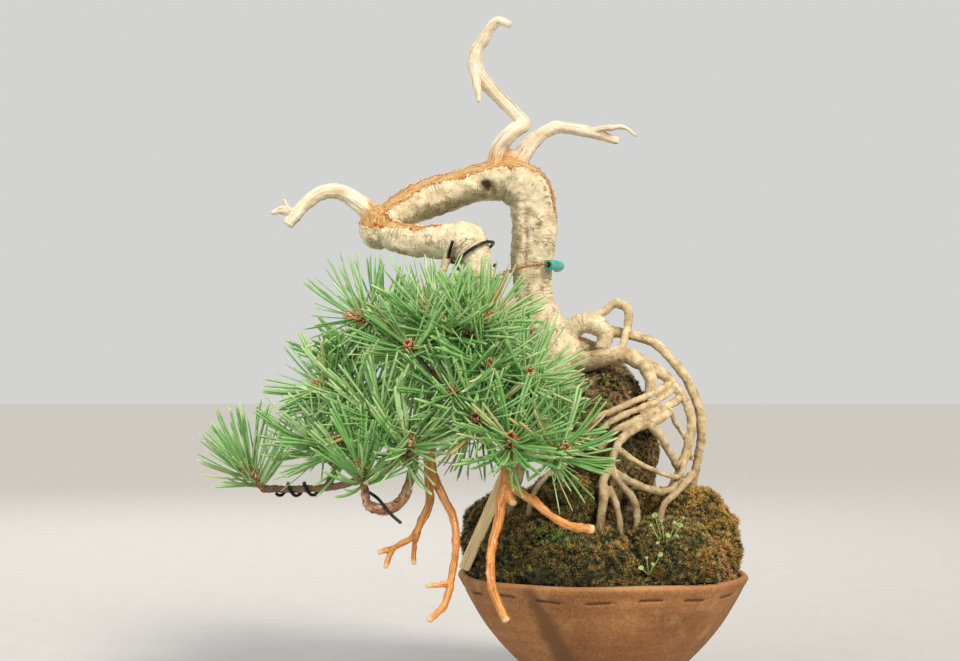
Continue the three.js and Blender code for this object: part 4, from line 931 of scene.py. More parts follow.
# %% Peeled branches
peeled, tree, shader = material_called("freshly peeled pine", 0.38, Coat_Weight=0.25, Coat_Roughness=0.3)
fibre = add(tree, "ShaderNodeTexNoise", {"Vector": wood_place(tree, 1.2, 20), "Scale": 1.0, "Detail": 4.0})
patch = add(tree, "ShaderNodeTexNoise", {"Vector": wood_place(tree, 3, 5), "Scale": 1.0, "Detail": 4.0})
warm = add(tree, "ShaderNodeValToRGB", {"Fac": fibre}, stops=[
    (0.3, "#9C5418"), (0.44, "#C47A30"), (0.6, "#DC9C52"), (0.78, "#ECC488")])
rust = add(tree, "ShaderNodeMapRange", {"Value": patch, "From Min": 0.58, "From Max": 0.68, "To Max": 0.7})
warm = add(tree, "ShaderNodeMix", {"Factor": rust, "A": warm, "B": "#8A4A1C"}, **BLEND)
cut_end = add(tree, "ShaderNodeAttribute", output="Fac", attribute_name="cut")
warm = add(tree, "ShaderNodeMix", {"Factor": cut_end, "A": warm, "B": "#DFB57C"}, **BLEND)
cover(tree, shader, warm, patch, 0.35, 0.7)
for name, routes in (("stripped_branch_left", STRIPPED_LEFT), ("stripped_branch_right", STRIPPED_RIGHT)):
    skin = wood_skin(name, routes, FINE * 0.85, smoothing=2)
    points = points_of(skin)
    from_end = np.min([np.linalg.norm(points - route[-1][:3], axis=1) for route in routes], axis=0)
    keep_on_points(skin, "cut", 1 - smooth_step(2.6, 4.2, from_end))
    knots = np.maximum(speckle(points, 5.5, 9), 0) ** 2
    move_points(skin, 1.6 * knots)
    mesh = with_relief(name, skin, Lump_Height=0.5, Lump_Size=6.0, Grain_Height=0.25, Grain_Width=1.4,
                       Grain_Length=26.0)
    finish_piece(name + "_wood", mesh, "stripped_wood", [name], peeled)

# %% [markdown]
# ## Bowl
#
# Unglazed stoneware, coiled and scraped by hand: a thin rounded rim that isn't
# quite level, short tool marks under it, and a matt, sandy, golden-brown skin.
# A painted shadow of the stripped branch falls down the front as a dark diagonal band. The shape is a turned
# profile, so it is built ring by ring, and its drainage holes and foot notches are cut at the end.

# %% Bowl section
POT_HEIGHT = 86
RIM_RADIUS = 101
WALL = 6
FOOT_RADIUS = 44
FOOT_HEIGHT = 6
FLOOR_TOP = 14
OUTSIDE = [(FOOT_RADIUS + 1, FOOT_HEIGHT), (49, 15), (60, 24.5), (72, 37), (83, 51), (92, 66),
           (RIM_RADIUS - 1.6, 80)]
AROUND = 240
TOOL_MARKS = 18
MARK_DROP = 11
MARK_LENGTH = 21
MARK_WIDTH = 1.15
MARK_DEPTH = 1.2
MARK_SHIFT = 0.765


def bowl_profile():
    """The section from the middle of the underside, up the outside and down the inside."""
    outside = smooth_line([(r, 0, z, 0) for r, z in OUTSIDE], 0.8)[:, [0, 2]]
    rim_middle = RIM_RADIUS - WALL / 2
    turn = np.linspace(0, math.pi, 12)
    rim = np.column_stack([rim_middle + 0.5 * WALL * np.cos(turn), POT_HEIGHT - 3 + 3 * np.sin(turn)])
    inside = [(r - WALL, z + 2) for r, z in reversed(OUTSIDE[3:])] + [(44, FLOOR_TOP + 6), (34, FLOOR_TOP)]
    inside = smooth_line([(r, 0, z, 0) for r, z in inside], 3.0)[:, [0, 2]]
    foot = [(0, 0), (20, 0), (FOOT_RADIUS - 0.8, 0), (FOOT_RADIUS, 0.8)]
    return np.vstack([foot, outside, rim, inside, [(0, FLOOR_TOP)]])


profile = bowl_profile()
print("bowl section:", len(profile), "points")

# %% Bowl rings
angle = np.linspace(0, 2 * math.pi, AROUND, endpoint=False)
radius = np.repeat(profile[:, 0:1], AROUND, axis=1)
level = np.repeat(profile[:, 1:2], AROUND, axis=1)
upper = np.clip(level / POT_HEIGHT, 0, 1) ** 3
outer = np.arange(len(profile))[:, None] < np.argmax(profile[:, 1])
wobble = np.sin(2 * angle + 0.6) * 0.6 + np.sin(5 * angle + 2) * 0.25 + np.sin(9 * angle) * 0.12
radius = radius + np.where(radius > 50, upper * wobble, 0)
level = level + upper * (np.sin(3 * angle + 1.2) * 0.7 + np.sin(7 * angle) * 0.3) - upper * 0.9
mark_phase = (angle / (2 * math.pi) * TOOL_MARKS + MARK_SHIFT) % 1 - 0.5
mark_reach = np.abs(mark_phase) * 2 * math.pi * RIM_RADIUS / TOOL_MARKS
mark_level = POT_HEIGHT - MARK_DROP + 1.2 * np.sin(6 * angle)
mark = (np.exp(-(((level - mark_level) / MARK_WIDTH) ** 2)) * outer
        * (1 - smooth_step(MARK_LENGTH / 2 - 2.5, MARK_LENGTH / 2, mark_reach)))
radius = radius - MARK_DEPTH * mark
points = np.stack([radius * np.sin(angle), -radius * np.cos(angle), level], axis=-1)
ring_points = points[1:-1].reshape(-1, 3)
faces = []
last = (len(profile) - 3) * AROUND
for j in range(AROUND):
    k = (j + 1) % AROUND
    faces += [(i + j, i + k, i + AROUND + k, i + AROUND + j) for i in range(0, last, AROUND)]
    faces += [(k, j, len(ring_points)), (last + j, last + k, len(ring_points) + 1)]
bowl_points = np.vstack([ring_points, [(0, 0, 0), (0, 0, FLOOR_TOP)]])
marks = {"mark": np.append(mark[1:-1].ravel(), [0, 0])}
bowl_base = new_object("bowl_base", mesh_of("bowl_base", bowl_points, faces, marks))
print("bowl rings:", len(profile), "of", AROUND)

# %% Bowl cuts
DRAINS = 3
DRAIN_OFFSET = 24
DRAIN_RADIUS = 6
NOTCH_REACH = (30, 66)
NOTCH_HALF_WIDTH = 4


def prism(corners, low, high):
    """A straight solid over a plan outline."""
    count = len(corners)
    points = [(x, y, z) for z in (low, high) for x, y in corners]
    faces = [tuple(range(count))[::-1], tuple(range(count, 2 * count))]
    return mesh_of("cutter", points, faces + bands(2, count))


cutters = []
for i in range(DRAINS):
    way = math.pi / 2 + i * 2 * math.pi / DRAINS
    out = np.array([math.cos(way), math.sin(way)])
    side = np.array([-out[1], out[0]]) * NOTCH_HALF_WIDTH
    hole = [out * DRAIN_OFFSET + DRAIN_RADIUS * np.array([math.cos(a), math.sin(a)])
            for a in np.linspace(0, 2 * math.pi, 32, endpoint=False)]
    near, far = NOTCH_REACH
    notch = [out * near - side, out * far - side, out * far + side, out * near + side]
    cutters += [new_object("drain", prism(hole, -5, 20)), new_object("notch", prism(notch, -4, 4))]
for each in cutters:
    cut = bowl_base.modifiers.new("cut", "BOOLEAN")
    cut.object = each
    cut.operation = "DIFFERENCE"
    cut.solver = "EXACT"
bowl_mesh = plain_mesh(bowl_base)
for each in cutters:
    bpy.data.objects.remove(each)
print("bowl:", DRAINS, "drainage holes and as many notches in its foot")

# %% [markdown]
# The clay body is iron-rich and full of sand. Fired without glaze it is matt and
# warm, with pale grains a millimetre across and darker clouds from the fire. The
# grains are drawn a little coarser than they are, so that they show.

# %% Clay
# The band of painted shadow that the stripped branch casts down the front of the bowl.
BRANCH_SHADOW = [(-54, -84, 80, 3), (-46, -80, 66, 5), (-36, -70, 48, 7), (-26, -58, 32, 9)]
bowl_now = points_of(bowl_mesh)
branch_shadow = 1 - smooth_step(-3, 5, distance_to(bowl_now, BRANCH_SHADOW) + 2.5 * speckle(bowl_now, 8, 5))
keep_on_points(bowl_mesh, "branch_shadow", branch_shadow)

clay, tree, shader = material_called("unglazed stoneware", 0.85)
where = add(tree, "ShaderNodeTexCoord", output="Object")
cloud = add(tree, "ShaderNodeTexNoise", {"Vector": where, "Scale": 24.0, "Detail": 5.0})
sand = add(tree, "ShaderNodeTexNoise", {"Vector": where, "Scale": 520.0, "Detail": 3.0, "Roughness": 0.7})
body = add(tree, "ShaderNodeValToRGB", {"Fac": cloud}, stops=[
    (0.32, "#8E5F34"), (0.5, "#A06C3E"), (0.68, "#AF7B49")])
grain = add(tree, "ShaderNodeValToRGB", {"Fac": sand}, stops=[(0.34, "#A8947E"), (0.56, "#FFFFFF")])
body = add(tree, "ShaderNodeMix", {"Factor": 0.5, "A": body, "B": grain}, **SHADE)
turned = add(tree, "ShaderNodeMapping", {"Vector": where, "Scale": (14.0, 14.0, 170.0)})
lines = add(tree, "ShaderNodeTexNoise", {"Vector": turned, "Scale": 1.0, "Detail": 4.0})
lines = add(tree, "ShaderNodeValToRGB", {"Fac": lines}, stops=[(0.34, "#C9B49A"), (0.6, "#FFFFFF")])
body = add(tree, "ShaderNodeMix", {"Factor": 0.45, "A": body, "B": lines}, **SHADE)
bloom = add(tree, "ShaderNodeTexNoise", {"Vector": where, "Scale": 55.0, "Detail": 6.0, "Roughness": 0.65})
bloom = add(tree, "ShaderNodeMapRange", {"Value": bloom, "From Min": 0.55, "From Max": 0.72, "To Max": 0.45})
body = add(tree, "ShaderNodeMix", {"Factor": bloom, "A": body, "B": "#C39A62"}, **BLEND)
specks = add(tree, "ShaderNodeTexVoronoi", {"Vector": where, "Scale": 330.0}, feature="F1")
specks = add(tree, "ShaderNodeMapRange", {"Value": specks, "From Min": 0.1, "From Max": 0.2,
                                          "To Min": 0.35, "To Max": 0.0})
body = add(tree, "ShaderNodeMix", {"Factor": specks, "A": body, "B": "#CFAE7C"}, **BLEND)
# Painted shadow of the stripped branch: the clay is darker along its band.
wet = add(tree, "ShaderNodeAttribute", output="Fac", attribute_name="branch_shadow")
wet = add(tree, "ShaderNodeMath", {0: wet, 1: 0.72}, operation="MULTIPLY")
body = add(tree, "ShaderNodeMix", {"Factor": wet, "A": body, "B": "#5F4024"}, **BLEND)
# Painted shade in the tool marks: the clay is darker in their grooves.
tool_mark_shade = add(tree, "ShaderNodeAttribute", output="Fac", attribute_name="mark")
tool_mark_shade = add(tree, "ShaderNodeMapRange", {"Value": tool_mark_shade, "From Min": 0.25, "From Max": 0.85, "To Max": 0.8})
body = add(tree, "ShaderNodeMix", {"Factor": tool_mark_shade, "A": body, "B": "#3E2614"}, **BLEND)
# Painted highlight: the top of the rim is lighter.
height = add(tree, "ShaderNodeSeparateXYZ", {"Vector": where}, output="Z")
rim_highlight = add(tree, "ShaderNodeMapRange", {"Value": height, "From Min": 82.5 * MM, "From Max": 85.5 * MM,
                                       "To Max": 0.3})
body = add(tree, "ShaderNodeMix", {"Factor": rim_highlight, "A": body, "B": "#C9A272"}, **BLEND)
rough = add(tree, "ShaderNodeMath", {0: cloud, 1: 2.0, 2: sand}, operation="MULTIPLY_ADD")
cover(tree, shader, body, rough, 0.22, 0.5)
finish_piece("bowl", bowl_mesh, "clay", ["pot"], clay)

# %% [markdown]
# ## Soil
#
# Dark, damp, crumbly soil fills the bowl, and what is left of the old root ball
# stands up out of it, brown and matted with fine roots and moss. The soil keeps
# its solid's form: the solid is remeshed, roughened and strewn with grit. One
# rule does all the strewing here, of grit, of moss tufts and of splinters.

# %% Scatter rule
scatter, given, result = node_rule("scatter", [
    ("Grain", "Object", None), ("Per Square Metre", "Float", 10000.0), ("Least Size", "Float", 0.7),
    ("Most Size", "Float", 1.3), ("Upright", "Float", 0.0), ("Unevenness", "Float", 0.5), ("Seed", "Int", 1),
    ("Finish", "Material", None), ("Least Facing Up", "Float", -1.0)])
normal = add(scatter, "GeometryNodeInputNormal")
facing = add(scatter, "ShaderNodeSeparateXYZ", {"Vector": normal}, output="Z")
open_faces = add(scatter, "FunctionNodeCompare", {"A": facing, "B": given["Least Facing Up"]},
                 data_type="FLOAT", operation="GREATER_THAN")
spread = add(scatter, "GeometryNodeDistributePointsOnFaces", {
    "Mesh": given["Geometry"], "Selection": open_faces, "Density": given["Per Square Metre"],
    "Seed": given["Seed"]}, distribute_method="RANDOM")
lean = add(scatter, "ShaderNodeMix", {"Factor": given["Upright"], "A": spread.node.outputs["Normal"],
                                      "B": (0.0, 0.0, 1.0)}, data_type="VECTOR")
jitter = add(scatter, "FunctionNodeRandomValue", {
    "Min": (-1.0,) * 3, "Max": (1.0,) * 3, "Seed": given["Seed"]}, data_type="FLOAT_VECTOR")
jitter = add(scatter, "ShaderNodeVectorMath", {0: jitter, "Scale": given["Unevenness"]}, operation="SCALE")
lean = add(scatter, "ShaderNodeVectorMath", {0: lean, 1: jitter}, operation="ADD")
turned = add(scatter, "FunctionNodeAlignRotationToVector", {"Vector": lean}, axis="Z")
roll = add(scatter, "FunctionNodeRandomValue", {"Min": 0.0, "Max": 2 * math.pi, "Seed": given["Seed"]},
           data_type="FLOAT")
spin = add(scatter, "FunctionNodeAxisAngleToRotation", {"Axis": (0.0, 0.0, 1.0), "Angle": roll})
turned = add(scatter, "FunctionNodeRotateRotation", {"Rotation": turned, "Rotate By": spin},
             rotation_space="LOCAL")
index = add(scatter, "GeometryNodeInputIndex")
size = add(scatter, "FunctionNodeRandomValue", {"Min": given["Least Size"], "Max": given["Most Size"],
                                                "ID": index, "Seed": 77}, data_type="FLOAT")
model = add(scatter, "GeometryNodeObjectInfo", {"Object": given["Grain"]}, output="Geometry")
placed = add(scatter, "GeometryNodeInstanceOnPoints", {"Points": spread, "Instance": model,
                                                       "Rotation": turned, "Scale": size})
tone = add(scatter, "FunctionNodeRandomValue", {"Min": 0.0, "Max": 1.0, "Seed": 5}, data_type="FLOAT")
placed = add(scatter, "GeometryNodeStoreNamedAttribute", {"Geometry": placed, "Name": "tone", "Value": tone},
             data_type="FLOAT", domain="INSTANCE")
whole = add(scatter, "GeometryNodeRealizeInstances", {"Geometry": placed})
whole = add(scatter, "GeometryNodeSetMaterial", {"Geometry": whole, "Material": given["Finish"]})
scatter.links.new(whole, result["Geometry"])
print("scatter inputs:", len(given) - 1)


# %% Strewing
def strewn(name, ground, grain, slot, **values):
    """Strews copies of a small mesh over a ground mesh, as one piece."""
    base = new_object(name + "_ground", ground)
    set_modifier(base, scatter, {"Grain": grain, **values})
    finish_piece(name, plain_mesh(base), slot)


def only_where(mesh, wanted):
    """A copy of a mesh with only the faces whose corners are all wanted points."""
    part = mesh.copy()
    shape = bmesh.new()
    shape.from_mesh(part)
    unwanted = [vertex for vertex in shape.verts if not wanted[vertex.index]]
    bmesh.ops.delete(shape, geom=unwanted, context="VERTS")
    shape.to_mesh(part)
    shape.free()
    return part


# %% Skin of a solid
def solid_skin(node, voxel, smoothing, bumps=(), grow=0.0):
    """A CAD solid as an even skin, eased and roughened by noise of the given sizes and heights."""
    source = frame["nodes"][node]
    copy = new_object(node + "_copy", source.data.copy())
    copy.matrix_world = source.matrix_world.copy()
    weld = copy.modifiers.new("weld", "WELD")
    weld.merge_threshold = 1e-6
    melt = copy.modifiers.new("melt", "REMESH")
    melt.mode = "VOXEL"
    melt.voxel_size = voxel * MM
    ease = copy.modifiers.new("ease", "SMOOTH")
    ease.iterations = smoothing
    mesh = plain_mesh(copy)
    points = points_of(mesh)
    rise = np.full(len(points), grow)
    for seed, (size, height) in enumerate(bumps):
        rise += height * speckle(points, size, seed)
    move_points(mesh, rise)
    mesh.materials.clear()
    return mesh


# %% Soil
COARSE = 1.6
humus, tree, shader = material_called("damp humus with fine roots", 0.95)
where = add(tree, "ShaderNodeTexCoord", output="Object")
crumb = add(tree, "ShaderNodeTexNoise", {"Vector": where, "Scale": 260.0, "Detail": 5.0, "Roughness": 0.7})
cloud = add(tree, "ShaderNodeTexNoise", {"Vector": where, "Scale": 70.0, "Detail": 3.0})
wet = add(tree, "ShaderNodeValToRGB", {"Fac": crumb}, stops=[
    (0.3, "#0E0A07"), (0.5, "#241A13"), (0.7, "#43321F")])
matted = add(tree, "ShaderNodeValToRGB", {"Fac": crumb}, stops=[
    (0.32, "#1B130C"), (0.48, "#58452C"), (0.6, "#8A7148"), (0.75, "#A99364")])
mossy = add(tree, "ShaderNodeValToRGB", {"Fac": crumb}, stops=[
    (0.35, "#2A2912"), (0.55, "#6B6A30"), (0.75, "#9A9150")])
patch = add(tree, "ShaderNodeMapRange", {"Value": cloud, "From Min": 0.5, "From Max": 0.62})
matted = add(tree, "ShaderNodeMix", {"Factor": patch, "A": matted, "B": mossy}, **BLEND)
height = add(tree, "ShaderNodeSeparateXYZ", {"Vector": where}, output="Z")
above = add(tree, "ShaderNodeMapRange", {"Value": height, "From Min": 0.098, "From Max": 0.125})
earth = add(tree, "ShaderNodeMix", {"Factor": above, "A": wet, "B": matted}, **BLEND)
cover(tree, shader, earth, crumb, 0.8, 1.2)
soil_mesh = solid_skin("soil", COARSE, 2, [(14, 1.6), (6, 1.3), (3.2, 0.9)])
soil_now = points_of(soil_mesh)
finish_piece("soil_ground", soil_mesh, "soil", ["soil"], humus)

# %% Grit finish
def toned_material(name, roughness, stops):
    """A material that gives each small copy a tone of its own, from its place in a range."""
    material, tree, shader = material_called(name, roughness)
    tone = add(tree, "ShaderNodeAttribute", output="Fac", attribute_name="tone")
    tone = add(tree, "ShaderNodeValToRGB", {"Fac": tone}, stops=stops)
    tree.links.new(tone, shader.inputs["Base Color"])
    return material


grit = toned_material("pumice, bark and lava grit", 0.9, [
    (0.0, "#241A12"), (0.4, "#4A3623"), (0.75, "#7A6040"), (0.95, "#A89070")])
print("grit finish:", grit.name)

# %% Grit
GOLDEN_ANGLE = 2.39996
SOIL_EDGE = 74


def pebble(corners, stretch):
    """An uneven little stone or splinter with a few faces."""
    shape = bmesh.new()
    for i in range(corners):
        high = 1 - 2 * (i + 0.5) / corners
        flat = math.sqrt(1 - high * high)
        point = Vector((flat * math.cos(GOLDEN_ANGLE * i), flat * math.sin(GOLDEN_ANGLE * i), high))
        point *= 1 + 0.25 * noise.noise(point * 2)
        shape.verts.new(Vector([point[k] * stretch[k] * MM for k in range(3)]))
    bmesh.ops.convex_hull(shape, input=shape.verts)
    mesh = bpy.data.meshes.new("pebble")
    shape.to_mesh(mesh)
    shape.free()
    return mesh


# Grit shows only above the edge of the bowl.
stone = new_object("stone", pebble(14, (1.2, 1.0, 0.8)))
in_sight = only_where(soil_mesh, soil_now[:, 2] > SOIL_EDGE)
strewn("soil_grit", in_sight, stone, "soil", Per_Square_Metre=60000.0, Least_Size=0.5, Most_Size=1.6, Seed=3,
       Finish=grit)
bpy.data.objects.remove(stone)

# %% [markdown]
# Where the bark was torn away, small splinters stand up at the edge of the wound
# and catch the light. They are strewn only on the faces along that edge.

# %% Splinters
splinter_bark = toned_material("torn bark splinters", 0.8, [
    (0.0, "#7E3E16"), (0.5, "#C47434"), (1.0, "#EDBE82")])
sliver = new_object("sliver", pebble(9, (0.32, 0.2, 1.7)))
trunk_now = points_of(trunk_mesh)
SHOULDER_X = -52
SHOULDER_Z = 330
FRONT_HALF = 6
shoulder = (trunk_now[:, 0] > SHOULDER_X) & (trunk_now[:, 2] > SHOULDER_Z)
edge_zone = np.abs(nearest_route(trunk_now, PEELED)) < np.where(shoulder, 2.6, 1.2)
edge_zone &= trunk_now[:, 1] < FRONT_HALF
strewn("bark_splinters", only_where(trunk_mesh, edge_zone), sliver, "bark", Per_Square_Metre=260000.0,
       Least_Size=0.4, Most_Size=1.3, Unevenness=0.9, Seed=8, Finish=splinter_bark)
bpy.data.objects.remove(sliver)

# %% [markdown]
# ## Moss
#
# Cushion moss is a mat of tiny upright shoots, each a star of narrow leaves. A painted bump would look like
# felt, so each cushion keeps its solid's form as a dark base, painted as moss in shade, and real tufts are
# planted on it, 2 to 3 mm wide. Their tone runs from deep green to straw, and each tuft is painted darker
# towards its foot as painted shade among the shoots. The sunny right side has turned gold, and its edge rust.

# %% Moss tuft
def tuft(blades, height, width, spread):
    """A star of narrow three-sided blades from one foot."""
    points, faces, tips = [], [], []
    for i in range(blades):
        turn = GOLDEN_ANGLE * i
        out = np.array([math.cos(turn), math.sin(turn), 0])
        side = np.array([-out[1], out[0], 0])
        lean = spread * (i / (blades - 1)) ** 0.6
        top = out * height * lean + np.array([0, 0, height * (1.05 - 0.6 * lean)])
        start = len(points)
        foot = out * width * 0.7
        points += [foot + side * width, foot - side * width, foot + out * width * 0.9, top]
        tips += [0, 0, 0, 1]
        faces += [(start, start + 1, start + 3), (start + 1, start + 2, start + 3),
                  (start + 2, start, start + 3), (start + 2, start + 1, start)]
    return mesh_of("tuft", points, faces, {"tip": tips})


star = new_object("star", tuft(8, 3.2, 0.5, 0.95))
stalk = new_object("stalk", tuft(3, 6.5, 0.16, 0.5))
print("triangles in a tuft:", len(star.data.polygons))

# %% Moss colours
MOSS_TONES = {
    "green": ["#222A10", "#5A6226", "#9A9340", "#DACD7C", "#B88244"],
    "gold": ["#5C5420", "#A89038", "#D8B650", "#F0D078", "#DA9A54"],
    "rust": ["#6A4220", "#AA6A34", "#D0904C", "#E8B070", "#DCA078"],
    "fresh": ["#1F5018", "#3C8A2C", "#5CAA3C", "#86C854", "#AAD870"],
}
FRESH_AT = (-0.037, -0.080, 0.120)
FRESH_REACH = 0.016
RUST_AT = (0.072, -0.055, 0.090)
RUST_REACH = 0.026
MOSS_PLACES = (0.0, 0.3, 0.55, 0.8, 1.0)


# %% Moss material
def moss_material(name, gold_from, gold_to):
    """Moss that turns from green to gold between two places across the bowl, in metres."""
    material, tree, shader = material_called(name, 0.85)
    where = add(tree, "ShaderNodeTexCoord", output="Object")
    patch = add(tree, "ShaderNodeTexNoise", {"Vector": where, "Scale": 95.0, "Detail": 5.0,
                                             "Roughness": 0.65})
    tone = add(tree, "ShaderNodeAttribute", output="Fac", attribute_name="tone")
    shade = add(tree, "ShaderNodeMath", {0: patch, 1: 2.4}, operation="MULTIPLY")
    shade = add(tree, "ShaderNodeMath", {0: tone, 1: 0.9, 2: shade}, operation="MULTIPLY_ADD")
    shade = add(tree, "ShaderNodeMapRange", {"Value": shade, "From Min": 1.35, "From Max": 1.95})
    tones = {}
    for label, colours in MOSS_TONES.items():
        tones[label] = add(tree, "ShaderNodeValToRGB", {"Fac": shade}, stops=list(zip(MOSS_PLACES, colours)))
    sway = add(tree, "ShaderNodeTexNoise", {"Vector": where, "Scale": 45.0, "Detail": 2.0})
    sway = add(tree, "ShaderNodeMath", {0: sway, 1: 0.05, 2: -0.025}, operation="MULTIPLY_ADD")
    right = add(tree, "ShaderNodeSeparateXYZ", {"Vector": where}, output="X")
    right = add(tree, "ShaderNodeMath", {0: right, 1: sway}, operation="ADD")
    sunny = add(tree, "ShaderNodeMapRange", {"Value": right, "From Min": gold_from, "From Max": gold_to})
    colour = add(tree, "ShaderNodeMix", {"Factor": sunny, "A": tones["green"], "B": tones["gold"]}, **BLEND)
    for label, middle, reach in (("rust", RUST_AT, RUST_REACH), ("fresh", FRESH_AT, FRESH_REACH)):
        away = add(tree, "ShaderNodeVectorMath", {0: where, 1: middle}, operation="DISTANCE")
        away = add(tree, "ShaderNodeMath", {0: away, 1: sway}, operation="ADD")
        near = add(tree, "ShaderNodeMapRange", {"Value": away, "From Min": reach * 0.55, "From Max": reach,
                                                "To Min": 0.85, "To Max": 0.0})
        colour = add(tree, "ShaderNodeMix", {"Factor": near, "A": colour, "B": tones[label]}, **BLEND)
    # Painted shade: each tuft is darker towards its foot, where the shoots shade one another.
    tip = add(tree, "ShaderNodeAttribute", output="Fac", attribute_name="tip")
    depth = add(tree, "ShaderNodeValToRGB", {"Fac": tip}, stops=[
        (0.0, "#38362C"), (0.6, "#CFCDC2"), (1.0, "#FFFFFF")])
    colour = add(tree, "ShaderNodeMix", {"Factor": 1.0, "A": colour, "B": depth}, **SHADE)
    tree.links.new(colour, shader.inputs["Base Color"])
    return material


moss_finish = {"moss_green": moss_material("cushion moss, green", 0.045, 0.085),
               "moss_gold": moss_material("cushion moss, golden", -0.005, 0.055)}
moss_base = mottled_material("moss in shade", 0.95, 300.0, [(0.3, "#1C1A0D"), (0.7, "#4E4822")],
                             detail=4.0, contrast=0.7)
straw = toned_material("dry moss stalks", 0.7, [(0.0, "#A9854E"), (0.5, "#C9B078"), (1.0, "#DCCFA0")])
print("moss colours:", ", ".join(MOSS_TONES))

# %% Moss cushions
TUFTS_PER_SQUARE_METRE = 270000.0
STALKS_PER_SQUARE_METRE = 11000.0
HOLLOWS = [[(-47, -88, 112, 4), (-47, -94, 100, 4.5)], [(-15, -82, 108, 4), (-11, -86, 103, 4)],
           [(10, -78, 106, 3), (16, -80, 104, 3)]]
slots = {item["node"]: item["material_slot"] for item in frame["record"]["subparts"]}
cushions = [node for node in slots if node.startswith("moss")]
for number, node in enumerate(cushions):
    cushion = solid_skin(node, COARSE, 3, [(15, 2.4), (7, 2.0), (3, 0.7)], grow=-1.6)
    points = points_of(cushion)
    hollow = nearest_route(points, HOLLOWS) + 1.5 * speckle(points, 5, 2)
    move_points(cushion, -2.5 * (1 - smooth_step(-1, 3, hollow)))
    ground = only_where(cushion, (hollow > 1) & (speckle(points, 4.5, 12) > -0.52))
    finish_piece(node + "_base", cushion, slots[node], [node], moss_base)
    strewn(node + "_tufts", ground.copy(), star, slots[node], Per_Square_Metre=TUFTS_PER_SQUARE_METRE,
           Least_Size=0.6, Most_Size=1.25, Upright=0.3, Unevenness=0.45, Seed=20 + number,
           Finish=moss_finish[slots[node]], Least_Facing_Up=-0.4)
    strewn(node + "_stalks", ground, stalk, slots[node], Per_Square_Metre=STALKS_PER_SQUARE_METRE,
           Least_Size=0.5, Most_Size=1.1, Upright=0.3, Unevenness=0.7, Seed=40 + number, Finish=straw,
           Least_Facing_Up=0.0)

# %% [markdown]
# Moss also creeps over the soil up to the rim, so that hardly any bare soil shows
# between the cushions and the clay. At the clay it lies as an uneven low roll, made
# as a tube round the bowl. It grows in patches on the old root ball, too.

# %% Moss at the rim and on the root ball
ROLL_RADIUS = 85
ROLL_WIDTH = 6.5
ROLL_LEVEL = 82.5
CREEP_FROM = 71
BALL_FROM = 112
ROLL_STEPS = 200
ROLL_SIDES = 16
turn = np.linspace(0, 2 * math.pi, ROLL_STEPS, endpoint=False)[:, None]
inner = np.linspace(0, 2 * math.pi, ROLL_SIDES, endpoint=False)[None, :]
reach = ROLL_RADIUS + ROLL_WIDTH * np.cos(inner)
level = ROLL_LEVEL + 0 * turn + ROLL_WIDTH * np.sin(inner)
points = np.stack([reach * np.sin(turn), -reach * np.cos(turn), level], axis=-1).reshape(-1, 3)
faces = [(a, d, c, b) for a, b, c, d in bands(ROLL_STEPS, ROLL_SIDES, closed=True)]
roll = mesh_of("roll", points, faces)
move_points(roll, 1.6 * speckle(points, 12, 1) + 1.0 * speckle(points, 5, 2) - 0.6)
roll_ground = only_where(roll, points_of(roll)[:, 2] > ROLL_LEVEL)
finish_piece("moss_rim_base", roll, "moss_green", material=moss_base)
strewn("moss_rim_tufts", roll_ground, star, "moss_green", Per_Square_Metre=TUFTS_PER_SQUARE_METRE,
       Least_Size=0.6, Most_Size=1.2, Upright=0.4, Unevenness=0.45, Seed=60, Finish=moss_finish["moss_green"])
creeping = (np.hypot(soil_now[:, 0], soil_now[:, 1]) > CREEP_FROM) & (speckle(soil_now, 9, 8) > -0.4)
strewn("moss_creeping", only_where(soil_mesh, creeping), star, "moss_green", Seed=62,
       Per_Square_Metre=TUFTS_PER_SQUARE_METRE, Least_Size=0.6, Most_Size=1.2, Upright=0.4,
       Unevenness=0.5, Finish=moss_finish["moss_green"], Least_Facing_Up=0.2)
on_ball = (soil_now[:, 2] > BALL_FROM) & (speckle(soil_now, 11, 6) > 0.02)
strewn("moss_ball", only_where(soil_mesh, on_ball), star, "moss_green", Seed=61,
       Per_Square_Metre=TUFTS_PER_SQUARE_METRE * 0.65, Least_Size=0.5, Most_Size=1.1, Upright=0.3,
       Unevenness=0.5, Finish=moss_finish["moss_green"], Least_Facing_Up=-0.6)
for each in (star, stalk):
    bpy.data.objects.remove(each)

# %% [markdown]
# ## Needles
#
# Two stiff needles grow from each short sheath, and the pairs wind up the shoot
# in a spiral, wide apart at its foot and pointing forward at its bud. Placing
# thousands by hand is hopeless, but the spiral is one simple rule, the golden
# angle. The rule plants the needle pairs, and then the scales of the bud.

# %% Needle and scale
NEEDLE_LENGTH = 44
NEEDLE_HALF_WIDTH = 1.12
NEEDLE_HALF_DEPTH = 0.6
NEEDLE_PLACES = (0.0, 0.08, 0.3, 0.52, 0.72, 0.88, 0.96, 0.99, 1.0)
SCALE_LENGTH = 3.4


